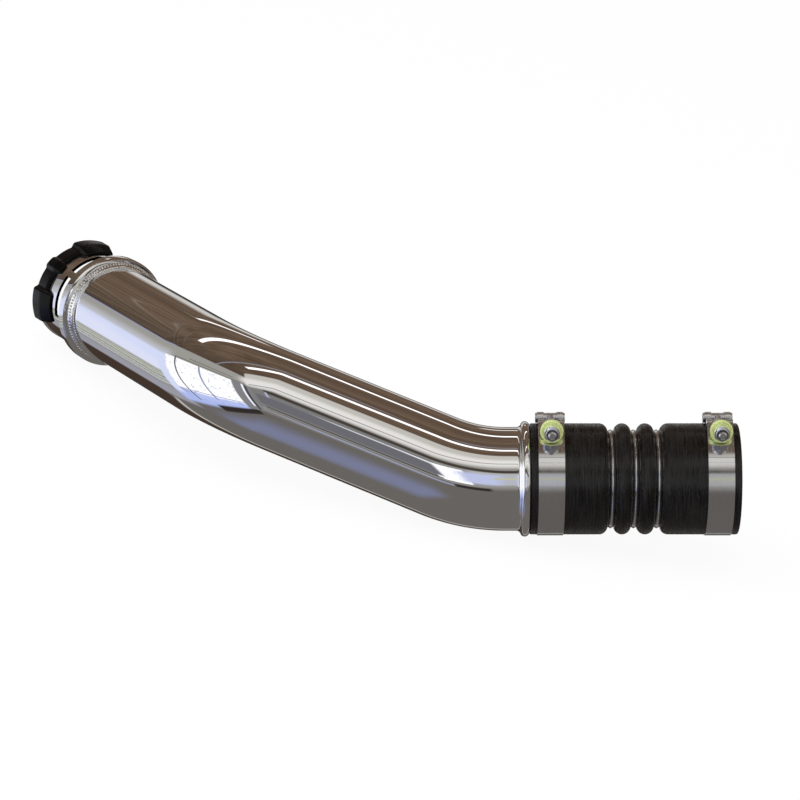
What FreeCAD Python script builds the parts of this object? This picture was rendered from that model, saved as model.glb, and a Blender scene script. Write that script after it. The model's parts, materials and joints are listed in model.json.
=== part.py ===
import FreeCAD, Part
import math
import os
import re

import Sketcher
from FreeCAD import Placement, Rotation, Vector

# Bent charge-air pipe with a bellows hose, two T-bolt clamps and a snap-in connector.
# Working frame: the hose axis is X, from the free end of the hose at the origin to the pipe,
# and the first bend turns towards +Z. The last step lays everything down as it comes to rest.

# Driving dimensions: alias, millimetres or degrees, meaning
DIMENSIONS = [
    ("pipe_radius", 38.1, "outside radius of the three inch pipe"),
    ("pipe_wall", 2.0, "wall of the pipe"),
    ("bend_radius", 114.3, "centreline radius of both bends, one and a half pipe diameters"),
    ("bead_to_bend", 14.5, "from the crest of the bead to the first bend"),
    ("bend_one_angle", 25.0, "first bend"),
    ("middle_run", 127.6, "straight between the bends"),
    ("roll_angle", 56.75, "turn of the pipe about its axis between the bends"),
    ("bend_two_angle", 42.5, "second bend"),
    ("last_run", 147.7, "straight from the second bend to the weld"),
    ("pipe_insert", 40.0, "length of pipe inside the hose"),
    ("bead_arc", 3.5, "outside radius of the rolled bead's section"),
    ("bead_rise", 4.3, "height of the bead's crest over the pipe"),
    ("bead_root", 3.0, "root radius of the bead on the pipe side"),
    ("bead_heel", 0.8, "root radius of the bead on the hose side"),
    ("weld_leg", 2.6, "length of the weld along the pipe, before the weld line"),
    ("weld_rise", 2.9, "height of the weld up the flange"),
    ("weld_crown", 0.9, "how far the weld's face stands out of its chord"),
    ("flange_face", 2.0, "start of the connector's flange, from the weld line"),
    ("flange_rise", 6.1, "height of the connector's flange over the pipe"),
    ("flange_width", 9.3, "width of the connector's flange"),
    ("flange_chamfer", 1.4, "chamfer of the flange on the weld side"),
    ("rim_chamfer", 0.6, "small edge breaks on the connector"),
    ("bore_step", 0.9, "how much wider the connector's bore is than the pipe's inside"),
    ("sleeve_wall", 2.4, "wall of the connector's sleeve"),
    ("sleeve_end", 62.5, "open end of the connector, from the weld line"),
    ("sleeve_lead", 1.2, "lead-in chamfer of the connector's bore"),
    ("socket_depth", 8.0, "depth of the pipe's socket in the flange"),
    ("window_start", 20.0, "first edge of the latch windows, from the weld line"),
    ("window_width", 8.0, "width of the latch windows along the axis"),
    ("window_angle", 50.0, "arc of each latch window"),
    ("web_angle", 8.0, "arc of the web between the latch windows"),
    ("seal_start", 32.0, "first edge of the seal's groove, from the weld line"),
    ("seal_width", 5.0, "width of the seal's groove"),
    ("seal_depth", 1.2, "depth of the seal's groove in the bore"),
    ("seal_lip", 1.2, "how far the seal stands into the bore"),
    ("clip_start", 43.2, "first edge of the clip's groove, from the weld line"),
    ("clip_width", 16.6, "width of the clip's groove"),
    ("clip_depth", 1.0, "depth of the clip's groove in the sleeve"),
    ("clip_wall", 3.4, "thickness of the clip's band"),
    ("clip_angle", 134.0, "arc of the clip from end to end"),
    ("clip_turn_angle", 114.8, "middle of the clip, turned about the connector's axis"),
    ("clip_gap", 0.1, "clearance of the clip in its groove and over the sleeve"),
    ("grip_rise", 3.2, "height of the clip's end grips over its band"),
    ("grip_angle", 36.0, "arc of each end grip"),
    ("grip_foot", 8.0, "how far the grips reach towards the flange, past the groove"),
    ("grip_toe", 1.2, "thickness of the grips at that end"),
    ("grip_ramp", 2.2, "how far past the groove's edge the grips' ramp ends"),
    ("rib_rise", 1.8, "height of the clip's middle rib over its band"),
    ("rib_angle", 13.0, "arc of the clip's middle rib"),
    ("rib_foot", 4.2, "how far the middle rib reaches towards the flange"),
    ("hose_length", 152.4, "length of the six inch hose"),
    ("hose_wall", 2.7, "wall of the hose"),
    ("hose_chamfer", 0.9, "edge breaks on the hose's ends"),
    ("ring_pitch", 16.85, "distance between the hose's rings"),
    ("fold_arc", 6.2, "outside radius of the hose's folds"),
    ("ring_rise", 1.8, "height of a ring over the floor between the folds"),
    ("ring_flank", 0.6, "height of a ring's flank below its ridge"),
    ("ring_gap", 0.1, "side clearance of a ring between the folds"),
    ("clamp_width", 19.05, "width of the clamp's strap"),
    ("clamp_wall", 0.7, "thickness of the clamp's strap"),
    ("clamp_inset", 14.9, "middle of a clamp from the end of the hose"),
    ("clamp_turn_angle", 46.7, "turn of the clamps' bolts from the plane of the first bend"),
    ("loop_reach", 8.6, "middle of each strap loop from the middle of the gap"),
    ("fold_angle", 6.2, "arc of the strap's end laid back on the strap"),
    ("slot_width", 10.6, "width of the slots in the strap's loops"),
    ("slot_past", 2.6, "how far the slot on the nut's side reaches past the collar's face"),
    ("head_slot", 5.4, "how far the slot on the head's side reaches past its loop's middle"),
    ("bridge_wall", 0.5, "thickness of the bridge plate, pressed into the hose"),
    ("bridge_angle", 42.0, "arc of the bridge plate"),
    ("bridge_width", 17.0, "width of the bridge plate"),
    ("bolt_radius", 3.0, "radius of the T-bolt"),
    ("bolt_stand", 3.0, "how far the T-bolt stands out of its nut"),
    ("bolt_chamfer", 0.8, "chamfer on the T-bolt's end"),
    ("bolt_gap", 0.1, "clearance around the T-bolt"),
    ("barrel_radius", 3.6, "radius of the barrel and of the bolt's cross head"),
    ("head_length", 21.6, "length of the bolt's cross head"),
    ("collar_radius", 8.4, "radius of the plated collar"),
    ("collar_width", 4.0, "thickness of the collar"),
    ("collar_hub", 4.0, "radius of the collar's hub"),
    ("collar_chamfer", 0.7, "edge break on the collar"),
    ("collar_gap", 0.15, "clearance of the collar's edge over the folded strap"),
    ("nut_flats", 11.1, "width across the nut's flats"),
    ("nut_hex", 5.2, "height of the nut's hexagon"),
    ("nut_crown", 2.4, "height of the nut's round crown"),
    ("nut_chamfer", 0.6, "edge breaks on the nut"),
    ("crown_radius", 4.8, "radius of the nut's crown"),
    ("insert_radius", 4.1, "outside radius of the nut's nylon insert"),
    ("insert_width", 1.8, "thickness of the nylon insert"),
]
ALIASES = {alias for alias, _, _ in DIMENSIONS}

# Sizes that follow from them
HOSE_RADIUS = "(pipe_radius + hose_wall)"
FLOOR_RADIUS = "(pipe_radius + hose_wall - fold_arc)"
BORE_RADIUS = "(pipe_radius - pipe_wall)"
SPIGOT_RADIUS = "(pipe_radius - pipe_wall + bore_step)"
SLEEVE_RADIUS = "(pipe_radius - pipe_wall + bore_step + sleeve_wall)"
FLANGE_RADIUS = "(pipe_radius + flange_rise)"
FLANGE_END = "(flange_face + flange_width)"
SEAL_SEAT = "(pipe_radius - pipe_wall + bore_step + seal_depth)"
CLIP_SEAT = "(pipe_radius - pipe_wall + bore_step + sleeve_wall - clip_depth)"
CLIP_RADIUS = "(pipe_radius - pipe_wall + bore_step + sleeve_wall - clip_depth + clip_wall)"
BEAD_CREST = "(hose_length + bead_arc)"
STRAP_RADIUS = "(pipe_radius + hose_wall + clamp_wall)"
LOOP_DISTANCE = "(pipe_radius + hose_wall + clamp_wall + barrel_radius)"
BOLT_HEIGHT = "sqrt(%s^2 - loop_reach^2)" % LOOP_DISTANCE
LEAN = "(asin(loop_reach / %s) / 1 deg)" % LOOP_DISTANCE
TOUCH = "(%s + acos((%s - barrel_radius) / %s) / 1 deg)" % (LEAN, STRAP_RADIUS, LOOP_DISTANCE)
COLLAR_FACE = "sqrt((%s + clamp_wall + collar_gap)^2 - (%s - collar_radius)^2)" % (STRAP_RADIUS, BOLT_HEIGHT)
COLLAR_FRONT = "(%s + collar_width)" % COLLAR_FACE
HEX_FRONT = "(%s + nut_hex)" % COLLAR_FRONT
NUT_FRONT = "(%s + nut_crown)" % HEX_FRONT
BOLT_END = "(%s + bolt_stand)" % NUT_FRONT

doc = FreeCAD.newDocument("charge_pipe")
sheet = doc.addObject("Spreadsheet::Sheet", "Dims")
for row, (alias, amount, meaning) in enumerate(DIMENSIONS, start=1):
    sheet.set("A%d" % row, meaning)
    sheet.set("B%d" % row, str(amount))
    sheet.setAlias("B%d" % row, alias)
doc.recompute()

pieces = []


def bound(formula):
    """Formula in the sheet's aliases, as an expression that any object can hold."""
    def named(word):
        return "Dims." + word.group() if word.group() in ALIASES else word.group()
    return re.sub(r"[a-z_]+", named, formula)


def size(formula):
    """Present value of a formula in the sheet's aliases."""
    result = sheet.evalExpression(formula)
    return float(getattr(result, "Value", result))


def finish(thing, label, place=Placement()):
    """Label a finished piece, place it in the working frame and list it."""
    thing.Label = label
    thing.Placement = place * thing.Placement
    pieces.append(thing)


# Sketched bodies

def arc_between(start, end, radius, side):
    """Arc from start to end whose middle lies to the left (side 1) or right (side -1) of the way."""
    chord = end - start
    left = Vector(-chord.y, chord.x, 0).normalize()
    height = math.sqrt(max(radius ** 2 - (chord.Length / 2) ** 2, 0))
    middle = (start + end) * 0.5 + left * (side * height)
    first, last = (start, end) if side > 0 else (end, start)
    angles = [math.atan2(point.y - middle.y, point.x - middle.x) for point in (first, last)]
    return Part.ArcOfCircle(Part.Circle(middle, Vector(0, 0, 1), radius), *angles)


def tips(step):
    """Point numbers of an edge's start and end: an arc with its middle to the right runs backwards."""
    return (2, 1) if len(step) == 4 and step[3] < 0 else (1, 2)


def section(body, name, outline, turn="0"):
    """
    Closed sketch on the body's XY plane, turned about X, with every corner held to the sheet.

    A corner is (x, y) for a line that ends there, or (x, y, radius, side) for an arc.
    """
    sketch = body.newObject("Sketcher::SketchObject", name)
    plane = next(item for item in body.Origin.OriginFeatures if item.Role == "XY_Plane")
    sketch.AttachmentSupport = (plane, [""])
    sketch.MapMode = "FlatFace"
    sketch.AttachmentOffset = Placement(Vector(), Rotation(Vector(1, 0, 0), size(turn)))
    if turn != "0":
        sketch.setExpression("AttachmentOffset.Rotation.Angle", bound(turn))
    corners = [Vector(size(step[0]), size(step[1]), 0) for step in outline]
    for index, step in enumerate(outline):
        start, end = corners[index - 1], corners[index]
        if len(step) == 2:
            sketch.addGeometry(Part.LineSegment(start, end))
        else:
            sketch.addGeometry(arc_between(start, end, size(step[2]), step[3]))
    for index, step in enumerate(outline):
        before = (index - 1) % len(outline)
        here, there = tips(step)
        sketch.addConstraint(Sketcher.Constraint("Coincident", before, tips(outline[before])[1], index, here))
        held = [("DistanceX", step[0], (index, there)), ("DistanceY", step[1], (index, there))]
        if len(step) == 4:
            held.append(("Radius", step[2], (index,)))
        for kind, formula, where in held:
            number = sketch.addConstraint(Sketcher.Constraint(kind, *where, size(formula)))
            sketch.setExpression("Constraints[%d]" % number, bound(formula))
    return sketch


def spin(body, kind, sketch, sweep="360"):
    """Revolution or Groove of a sketch about X, half of its sweep to each side of the sketch."""
    feature = body.newObject("PartDesign::" + kind, sketch.Name + "_spin")
    feature.Profile = sketch
    feature.ReferenceAxis = (sketch, ["H_Axis"])
    feature.Midplane = True
    feature.Angle = size(sweep)
    feature.setExpression("Angle", bound(sweep))
    body.Tip = feature


def turned(name, outline):
    """Body turned about X from one section."""
    body = doc.addObject("PartDesign::Body", name)
    spin(body, "Revolution", section(body, name + "_section", outline))
    return body


# Primitives and booleans

def primitive(kind, name, place, **formulas):
    """Part primitive whose sizes are formulas in the sheet's aliases."""
    solid = doc.addObject("Part::" + kind, name)
    for prop, formula in formulas.items():
        solid.setExpression(prop, bound(formula))
    solid.Placement = place
    return solid


def cut(name, base, tool):
    """First solid less the second."""
    result = doc.addObject("Part::Cut", name)
    result.Base, result.Tool, result.Refine = base, tool, True
    return result


def joined(name, solids):
    """Solids fused into one."""
    result = doc.addObject("Part::MultiFuse", name)
    result.Shapes, result.Refine = solids, True
    return result


# Route of the pipe: frames whose Z runs along it and whose X is the side that a bend turns to

def bent(frame, angle):
    """Frame at the end of a bend that starts at this frame."""
    radius = size("bend_radius")
    hub = Placement(Vector(radius, 0, 0), Rotation(Vector(0, 1, 0), angle))
    return frame * hub * Placement(Vector(-radius, 0, 0), Rotation())


def forward(frame, distance):
    """Frame further along a straight run."""
    return frame * Placement(Vector(0, 0, distance), Rotation())


heading = Rotation(Vector(0, 0, 1), Vector(0, -1, 0), Vector(1, 0, 0), "ZXY")
roll = Placement(Vector(), Rotation(Vector(0, 0, 1), size("roll_angle")))
bend_one_start = Placement(Vector(size(BEAD_CREST + " + bead_to_bend"), 0, 0), heading)
bend_one_end = bent(bend_one_start, size("bend_one_angle"))
bend_two_start = forward(bend_one_end, size("middle_run")) * roll
bend_two_end = bent(bend_two_start, size("bend_two_angle"))
weld_line = forward(bend_two_end, size("last_run"))
connector_frame = weld_line * Placement(Vector(), Rotation(Vector(0, 1, 0), -90))


def bend_bar(name, radius, angle, start):
    """Round bar bent towards its start frame's X."""
    hub = Rotation(Vector(-1, 0, 0), Vector(0, 0, 1), Vector(0, 1, 0), "ZXY")
    place = start * Placement(Vector(size("bend_radius"), 0, 0), hub)
    return primitive("Torus", name, place, Radius1="bend_radius", Radius2=radius, Angle3=angle)


def route(name, radius):
    """Round bar from the first bend to the end of the pipe in its socket."""
    reach = "last_run + flange_face + socket_depth"
    return joined(name, [
        bend_bar(name + "_bend_one", radius, "bend_one_angle", bend_one_start),
        primitive("Cylinder", name + "_middle", bend_one_end, Radius=radius, Height="middle_run"),
        bend_bar(name + "_bend_two", radius, "bend_two_angle", bend_two_start),
        primitive("Cylinder", name + "_last", bend_two_end, Radius=radius, Height=reach),
    ])


def make_pipe():
    """Bent pipe with a rolled bead behind the end that the hose slips over."""
    bore = BORE_RADIUS
    hub = "(pipe_radius + bead_rise - bead_arc)"

    def foot(fillet):
        """Distance from the crest to where a root fillet meets the pipe."""
        return "sqrt((%s + bead_arc)^2 - (bead_rise - bead_arc - %s)^2)" % (fillet, fillet)

    def meet(sign, fillet, reach):
        """Point at a reach from the bead's centre, on the line to a root fillet's centre."""
        share = "(%s) / (%s + bead_arc)" % (reach, fillet)
        return (BEAD_CREST + sign + foot(fillet) + " * " + share,
                "%s + (%s + bead_arc - bead_rise) * %s" % (hub, fillet, share))

    inner_arc = "bead_arc - pipe_wall"
    spout = turned("pipe_end", [
        ("hose_length - pipe_insert", bore),
        ("hose_length - pipe_insert", "pipe_radius"),
        (BEAD_CREST + " - " + foot("bead_heel"), "pipe_radius"),
        (*meet(" - ", "bead_heel", "bead_arc"), "bead_heel", 1),
        (BEAD_CREST, "pipe_radius + bead_rise", "bead_arc", -1),
        (*meet(" + ", "bead_root", "bead_arc"), "bead_arc", -1),
        (BEAD_CREST + " + " + foot("bead_root"), "pipe_radius", "bead_root", 1),
        (BEAD_CREST + " + bead_to_bend", "pipe_radius"),
        (BEAD_CREST + " + bead_to_bend", bore),
        (BEAD_CREST + " + " + foot("bead_root"), bore),
        (*meet(" + ", "bead_root", inner_arc), "bead_root + pipe_wall", -1),
        (BEAD_CREST, "pipe_radius + bead_rise - pipe_wall", inner_arc, 1),
        (*meet(" - ", "bead_heel", inner_arc), inner_arc, 1),
        (BEAD_CREST + " - " + foot("bead_heel"), bore, "bead_heel + pipe_wall", -1),
    ])
    run = cut("pipe_run", route("pipe_outside", "pipe_radius"), route("pipe_inside", bore))
    finish(joined("pipe", [spout, run]), "charge_pipe")


def make_weld():
    """Fillet weld in the corner between the pipe and the connector's flange."""
    half_chord = "((weld_leg + flange_face)^2 + weld_rise^2) / 4"
    finish(turned("weld", [
        ("flange_face", "pipe_radius"),
        ("-weld_leg", "pipe_radius"),
        ("flange_face", "pipe_radius + weld_rise", "(%s + weld_crown^2) / (2 * weld_crown)" % half_chord, -1),
    ]), "pipe_weld", connector_frame)


# Snap-in connector

def make_connector():
    """Turned sleeve with a flange, a socket for the pipe, two latch windows and the clip's groove."""
    socket_end = "flange_face + socket_depth"
    seal_end = "seal_start + seal_width"
    clip_end = "clip_start + clip_width"
    body = turned("connector", [
        ("flange_face", "pipe_radius"),
        ("flange_face", FLANGE_RADIUS + " - flange_chamfer"),
        ("flange_face + flange_chamfer", FLANGE_RADIUS),
        (FLANGE_END + " - rim_chamfer", FLANGE_RADIUS),
        (FLANGE_END, FLANGE_RADIUS + " - rim_chamfer"),
        (FLANGE_END, SLEEVE_RADIUS),
        ("clip_start", SLEEVE_RADIUS),
        ("clip_start", CLIP_SEAT),
        (clip_end, CLIP_SEAT),
        (clip_end, SLEEVE_RADIUS),
        ("sleeve_end - rim_chamfer", SLEEVE_RADIUS),
        ("sleeve_end", SLEEVE_RADIUS + " - rim_chamfer"),
        ("sleeve_end", SPIGOT_RADIUS + " + sleeve_lead"),
        ("sleeve_end - sleeve_lead", SPIGOT_RADIUS),
        (seal_end, SPIGOT_RADIUS),
        (seal_end, SEAL_SEAT),
        ("seal_start", SEAL_SEAT),
        ("seal_start", SPIGOT_RADIUS),
        (socket_end, SPIGOT_RADIUS),
        (socket_end, "pipe_radius"),
    ])
    window = [
        ("window_start", SPIGOT_RADIUS + " - pipe_wall"),
        ("window_start", FLANGE_RADIUS),
        ("window_start + window_width", FLANGE_RADIUS),
        ("window_start + window_width", SPIGOT_RADIUS + " - pipe_wall"),
    ]
    for name, sign in (("upper_window", "-"), ("lower_window", "+")):
        middle = "clip_turn_angle %s (window_angle + web_angle) / 2" % sign
        spin(body, "Groove", section(body, name, window, middle), "window_angle")
    finish(body, "connector_body", connector_frame)


def make_seal():
    """Rubber ring in the connector's inner groove, with a lip that stands into the bore."""
    lip = SPIGOT_RADIUS + " - seal_lip"
    finish(turned("seal", [
        ("seal_start", SEAL_SEAT),
        ("seal_start", SPIGOT_RADIUS),
        ("seal_start + seal_width / 4", lip),
        ("seal_start + seal_width * 3 / 4", lip),
        ("seal_start + seal_width", SPIGOT_RADIUS),
        ("seal_start + seal_width", SEAL_SEAT),
    ]), "seal_ring", connector_frame)


def make_clip():
    """Moulded C-shaped clip in the connector's groove, with two end grips and a middle rib."""
    near, far = "clip_start + clip_gap", "clip_start + clip_width - clip_gap"
    over = SLEEVE_RADIUS + " + clip_gap"

    def ridge(reach, rise, ramp):
        """Section of a grip: it clears the sleeve, and ramps up from its toe to its full radius."""
        return [
            (near, CLIP_SEAT),
            (near, over),
            ("clip_start - " + reach, over),
            ("clip_start - " + reach, over + " + grip_toe"),
            ("clip_start + " + ramp, CLIP_RADIUS + " + " + rise),
            (far, CLIP_RADIUS + " + " + rise),
            (far, CLIP_SEAT),
        ]

    body = doc.addObject("PartDesign::Body", "clip")
    band = [(near, CLIP_SEAT), (near, CLIP_RADIUS), (far, CLIP_RADIUS), (far, CLIP_SEAT)]
    spin(body, "Revolution", section(body, "clip_band", band, "clip_turn_angle"), "clip_angle")
    for name, sign in (("upper_grip", "-"), ("lower_grip", "+")):
        middle = "clip_turn_angle %s (clip_angle - grip_angle) / 2" % sign
        grip = section(body, name, ridge("grip_foot", "grip_rise", "grip_ramp"), middle)
        spin(body, "Revolution", grip, "grip_angle")
    rib = section(body, "middle_rib", ridge("rib_foot", "rib_rise", "grip_ramp / 2"), "clip_turn_angle")
    spin(body, "Revolution", rib, "rib_angle")
    finish(body, "lock_clip", connector_frame)


# Hose

def make_hose(seats):
    """Hose with a wall of even thickness, plain ends, two folds, and a seat for each bridge plate."""
    half = "(ring_pitch / 2 - fold_arc)"
    valleys = ["(hose_length / 2 %+d * ring_pitch)" % count for count in (-1, 0, 1)]
    outside = [(valleys[0] + " - ring_pitch / 2", HOSE_RADIUS)]
    for valley in valleys:
        outside += [
            (valley + " - " + half, FLOOR_RADIUS, "fold_arc", -1),
            (valley + " + " + half, FLOOR_RADIUS),
            (valley + " + ring_pitch / 2", HOSE_RADIUS, "fold_arc", -1),
        ]
    inside = [(valleys[-1] + " + ring_pitch / 2", "pipe_radius")]
    for valley in reversed(valleys):
        inside += [
            ("%s + %s + hose_wall" % (valley, half), FLOOR_RADIUS, "fold_arc - hose_wall", 1),
            (valley + " + " + half, FLOOR_RADIUS + " - hose_wall", "hose_wall", -1),
            (valley + " - " + half, FLOOR_RADIUS + " - hose_wall"),
            ("%s - %s - hose_wall" % (valley, half), FLOOR_RADIUS, "hose_wall", -1),
            (valley + " - ring_pitch / 2", "pipe_radius", "fold_arc - hose_wall", 1),
        ]
    sleeve = turned("hose_sleeve", [
        ("0", "pipe_radius + hose_chamfer"),
        ("0", HOSE_RADIUS + " - hose_chamfer"),
        ("hose_chamfer", HOSE_RADIUS),
        *outside,
        ("hose_length - hose_chamfer", HOSE_RADIUS),
        ("hose_length", HOSE_RADIUS + " - hose_chamfer"),
        ("hose_length", "pipe_radius + hose_chamfer"),
        ("hose_length - hose_chamfer", "pipe_radius"),
        *inside,
        ("hose_chamfer", "pipe_radius"),
    ])
    finish(cut("hose", sleeve, joined("bridge_seats", seats)), "hose_coupler")


def make_rings():
    """Steel rings with a pointed ridge, seated on the floors between the hose's folds."""
    half = "(ring_pitch / 2 - fold_arc - ring_gap)"
    for number in (1, 2, 3):
        middle = "(hose_length / 2 + %d * ring_pitch)" % (number - 2)
        finish(turned("ring_%d" % number, [
            (middle + " - " + half, FLOOR_RADIUS),
            (middle + " - " + half, FLOOR_RADIUS + " + ring_flank"),
            (middle, FLOOR_RADIUS + " + ring_rise"),
            (middle + " + " + half, FLOOR_RADIUS + " + ring_flank"),
            (middle + " + " + half, FLOOR_RADIUS),
        ]), "hose_ring_%d" % number)


# Clamps: X along the hose, Z out through the middle of the gap, Y along the bolt to the nut

def across(width, turn="0", y_place=0.0, z_place=0.0):
    """Frame for a cylinder along X, centred on the strap, whose slice starts turned from Z."""
    stand = Rotation(Vector(1, 0, 0), size(turn)) * heading
    return Placement(Vector(-size(width) / 2, y_place, z_place), stand)


def curved(name, width, inner, outer, turn="0", sweep="360", y_place=0.0, z_place=0.0):
    """Curved length of plate about an axis along X, swept from its turn towards -Y."""
    disc = primitive("Cylinder", name + "_outside", across(width, turn, y_place, z_place),
                     Radius=outer, Height=width, Angle=sweep)
    core = primitive("Cylinder", name + "_inside", across(width, "0", y_place, z_place),
                     Radius=inner, Height=width)
    return cut(name, disc, core)


def make_tabs(name, side, reach):
    """
    Folded end of the strap: its loop, the straight return and the layer laid back on the strap.

    side is 1 for the nut's end and -1 for the head's. The slot lets the bolt and collar through.
    """
    y_mid, z_mid = side * size("loop_reach"), size(BOLT_HEIGHT)

    def stretch(part, inner, first, last, y_place=0.0, z_place=0.0):
        """Curved length of strap between two angles from Z, counted towards this side."""
        turn = "-%s" % last if side > 0 else first
        return curved(name + part, "clamp_width", inner, inner + " + clamp_wall", turn,
                      "%s - %s" % (last, first), y_place, z_place)

    touch = size(TOUCH)
    out = Vector(0, side * math.sin(math.radians(touch)), math.cos(math.radians(touch)))
    corner = Vector(0, y_mid, z_mid) + out * size("barrel_radius") if side > 0 else out * size(STRAP_RADIUS)
    corner.x = -size("clamp_width") / 2
    plate = primitive("Box", name + "_return", Placement(corner, Rotation(Vector(1, 0, 0), -side * touch)),
                      Length="clamp_width", Height="clamp_wall",
                      Width="sqrt(%s^2 - (%s - barrel_radius)^2)" % (LOOP_DISTANCE, STRAP_RADIUS))
    fold = joined(name + "_fold", [
        stretch("_loop", "barrel_radius", "(%s - 180)" % LEAN, TOUCH, y_mid, z_mid),
        plate,
        stretch("_layer", STRAP_RADIUS, TOUCH, "(%s + fold_angle)" % TOUCH),
    ])

    half = size("slot_width") / 2
    gap_low = z_mid - size("bolt_radius + 2 * bolt_gap")
    high = "(%s + bolt_radius + barrel_radius)" % LOOP_DISTANCE
    mouth = primitive("Box", name + "_mouth", Placement(Vector(-half, min(0, y_mid), gap_low), Rotation()),
                      Length="slot_width", Width="loop_reach", Height=high)
    run_end = side * (size(reach) - half)
    run = primitive("Box", name + "_slot", Placement(Vector(-half, min(y_mid, run_end), 0), Rotation()),
                    Length="slot_width", Width=reach + " - loop_reach - slot_width / 2", Height=high)
    end = primitive("Cylinder", name + "_slot_end", Placement(Vector(0, run_end, 0), Rotation()),
                    Radius="slot_width / 2", Height=high)
    return cut(name, fold, joined(name + "_opening", [mouth, run, end]))


def make_strap(name):
    """Strap around the hose with both ends folded into slotted loops."""
    return joined(name, [
        curved(name + "_band", "clamp_width", HOSE_RADIUS, STRAP_RADIUS, LEAN, "360 - 2 * " + LEAN),
        make_tabs(name + "_nut_side", 1, COLLAR_FACE + " + slot_past"),
        make_tabs(name + "_head_side", -1, "loop_reach + head_slot"),
    ])


def curved_bridge(name):
    """Curved plate with the hose's outside radius."""
    return curved(name, "bridge_width", HOSE_RADIUS + " - bridge_wall", HOSE_RADIUS,
                  "-bridge_angle / 2", "bridge_angle")


def make_bridge(name, frame):
    """Plate under the gap of the strap, pressed into the hose, and the shape of its seat there."""
    finish(curved_bridge(name), name, frame)
    seat = curved_bridge(name + "_seat")
    seat.Placement = frame
    return seat


def make_bolt(name, frame, bolt_line):
    """T-bolt whose cross head lies in the head's loop."""
    shank = turned(name + "_shank", [
        ("-loop_reach", "0"),
        ("-loop_reach", "bolt_radius"),
        (BOLT_END + " - bolt_chamfer", "bolt_radius"),
        (BOLT_END, "bolt_radius - bolt_chamfer"),
        (BOLT_END, "0"),
    ])
    shank.Placement = bolt_line
    place = across("head_length", "0", -size("loop_reach"), size(BOLT_HEIGHT))
    head = primitive("Cylinder", name + "_head", place, Radius="barrel_radius", Height="head_length")
    finish(joined(name, [shank, head]), name, frame)


def make_barrel(name, frame):
    """Barrel in the nut's loop, with a cross hole for the bolt."""
    reach, height = size("loop_reach"), size(BOLT_HEIGHT)
    bar = primitive("Cylinder", name + "_bar", across("clamp_width", "0", reach, height),
                    Radius="barrel_radius", Height="clamp_width")
    drill = Placement(Vector(0, reach - size("barrel_radius + bolt_gap"), height),
                      Rotation(Vector(1, 0, 0), -90))
    hole = primitive("Cylinder", name + "_hole", drill,
                     Radius="bolt_radius + bolt_gap", Height="2 * (barrel_radius + bolt_gap)")
    finish(cut(name, bar, hole), name, frame)


def make_collar(name, place):
    """Plated collar between the barrel and the nut, its hub inside the slot."""
    finish(turned(name, [
        ("loop_reach + barrel_radius", "bolt_radius + bolt_gap"),
        ("loop_reach + barrel_radius", "collar_hub"),
        (COLLAR_FACE, "collar_hub"),
        (COLLAR_FACE, "collar_radius - collar_chamfer"),
        (COLLAR_FACE + " + collar_chamfer", "collar_radius"),
        (COLLAR_FRONT + " - collar_chamfer", "collar_radius"),
        (COLLAR_FRONT, "collar_radius - collar_chamfer"),
        (COLLAR_FRONT, "bolt_radius + bolt_gap"),
    ]), name, place)


def make_nut(name, place):
    """Lock nut: chamfered hexagon, round crown, and the insert in the crown's recess."""
    corners = "nut_flats / sqrt(3)"
    rim = NUT_FRONT + " - nut_chamfer / 2"
    seat = rim + " - insert_width"
    prism = primitive("Prism", name + "_hexagon", Placement(Vector(size(COLLAR_FRONT), 0, 0), heading),
                      Circumradius=corners, Height="nut_hex")
    prism.Polygon = 6
    blank = turned(name + "_blank", [
        (COLLAR_FRONT, "bolt_radius"),
        (COLLAR_FRONT, "nut_flats / 2"),
        (COLLAR_FRONT + " + nut_chamfer", corners),
        (HEX_FRONT + " - nut_chamfer", corners),
        (HEX_FRONT, "nut_flats / 2"),
        (HEX_FRONT, "bolt_radius"),
    ])
    hexagon = doc.addObject("Part::Common", name + "_hex")
    hexagon.Base, hexagon.Tool = blank, prism
    crown = turned(name + "_crown", [
        (HEX_FRONT, "bolt_radius"),
        (HEX_FRONT, "crown_radius"),
        (NUT_FRONT + " - nut_chamfer", "crown_radius"),
        (NUT_FRONT, "crown_radius - nut_chamfer / 2"),
        (NUT_FRONT, "insert_radius"),
        (seat, "insert_radius"),
        (seat, "bolt_radius"),
    ])
    finish(joined(name + "_nut", [hexagon, crown]), name + "_nut", place)
    finish(turned(name + "_insert", [
        (seat, "bolt_radius"),
        (seat, "insert_radius"),
        (rim, "insert_radius"),
        (rim, "bolt_radius"),
    ]), name + "_insert", place)


def make_clamp(name, frame):
    """T-bolt clamp: strap, T-bolt, barrel, plated collar, lock nut and the nut's insert."""
    bolt_line = Placement(Vector(0, 0, size(BOLT_HEIGHT)), Rotation(Vector(0, 0, 1), 90))
    finish(make_strap(name + "_strap"), name + "_strap", frame)
    make_bolt(name + "_bolt", frame, bolt_line)
    make_barrel(name + "_barrel", frame)
    make_collar(name + "_collar", frame * bolt_line)
    make_nut(name, frame * bolt_line)


# Rest: three places carry the part, each a round edge of a ring

def lowest(centre, axis, ring, edge, up):
    """Lowest point of a ring with a rounded edge."""
    side = up - axis * up.dot(axis)
    return centre - side.normalize() * ring - up * edge


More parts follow.
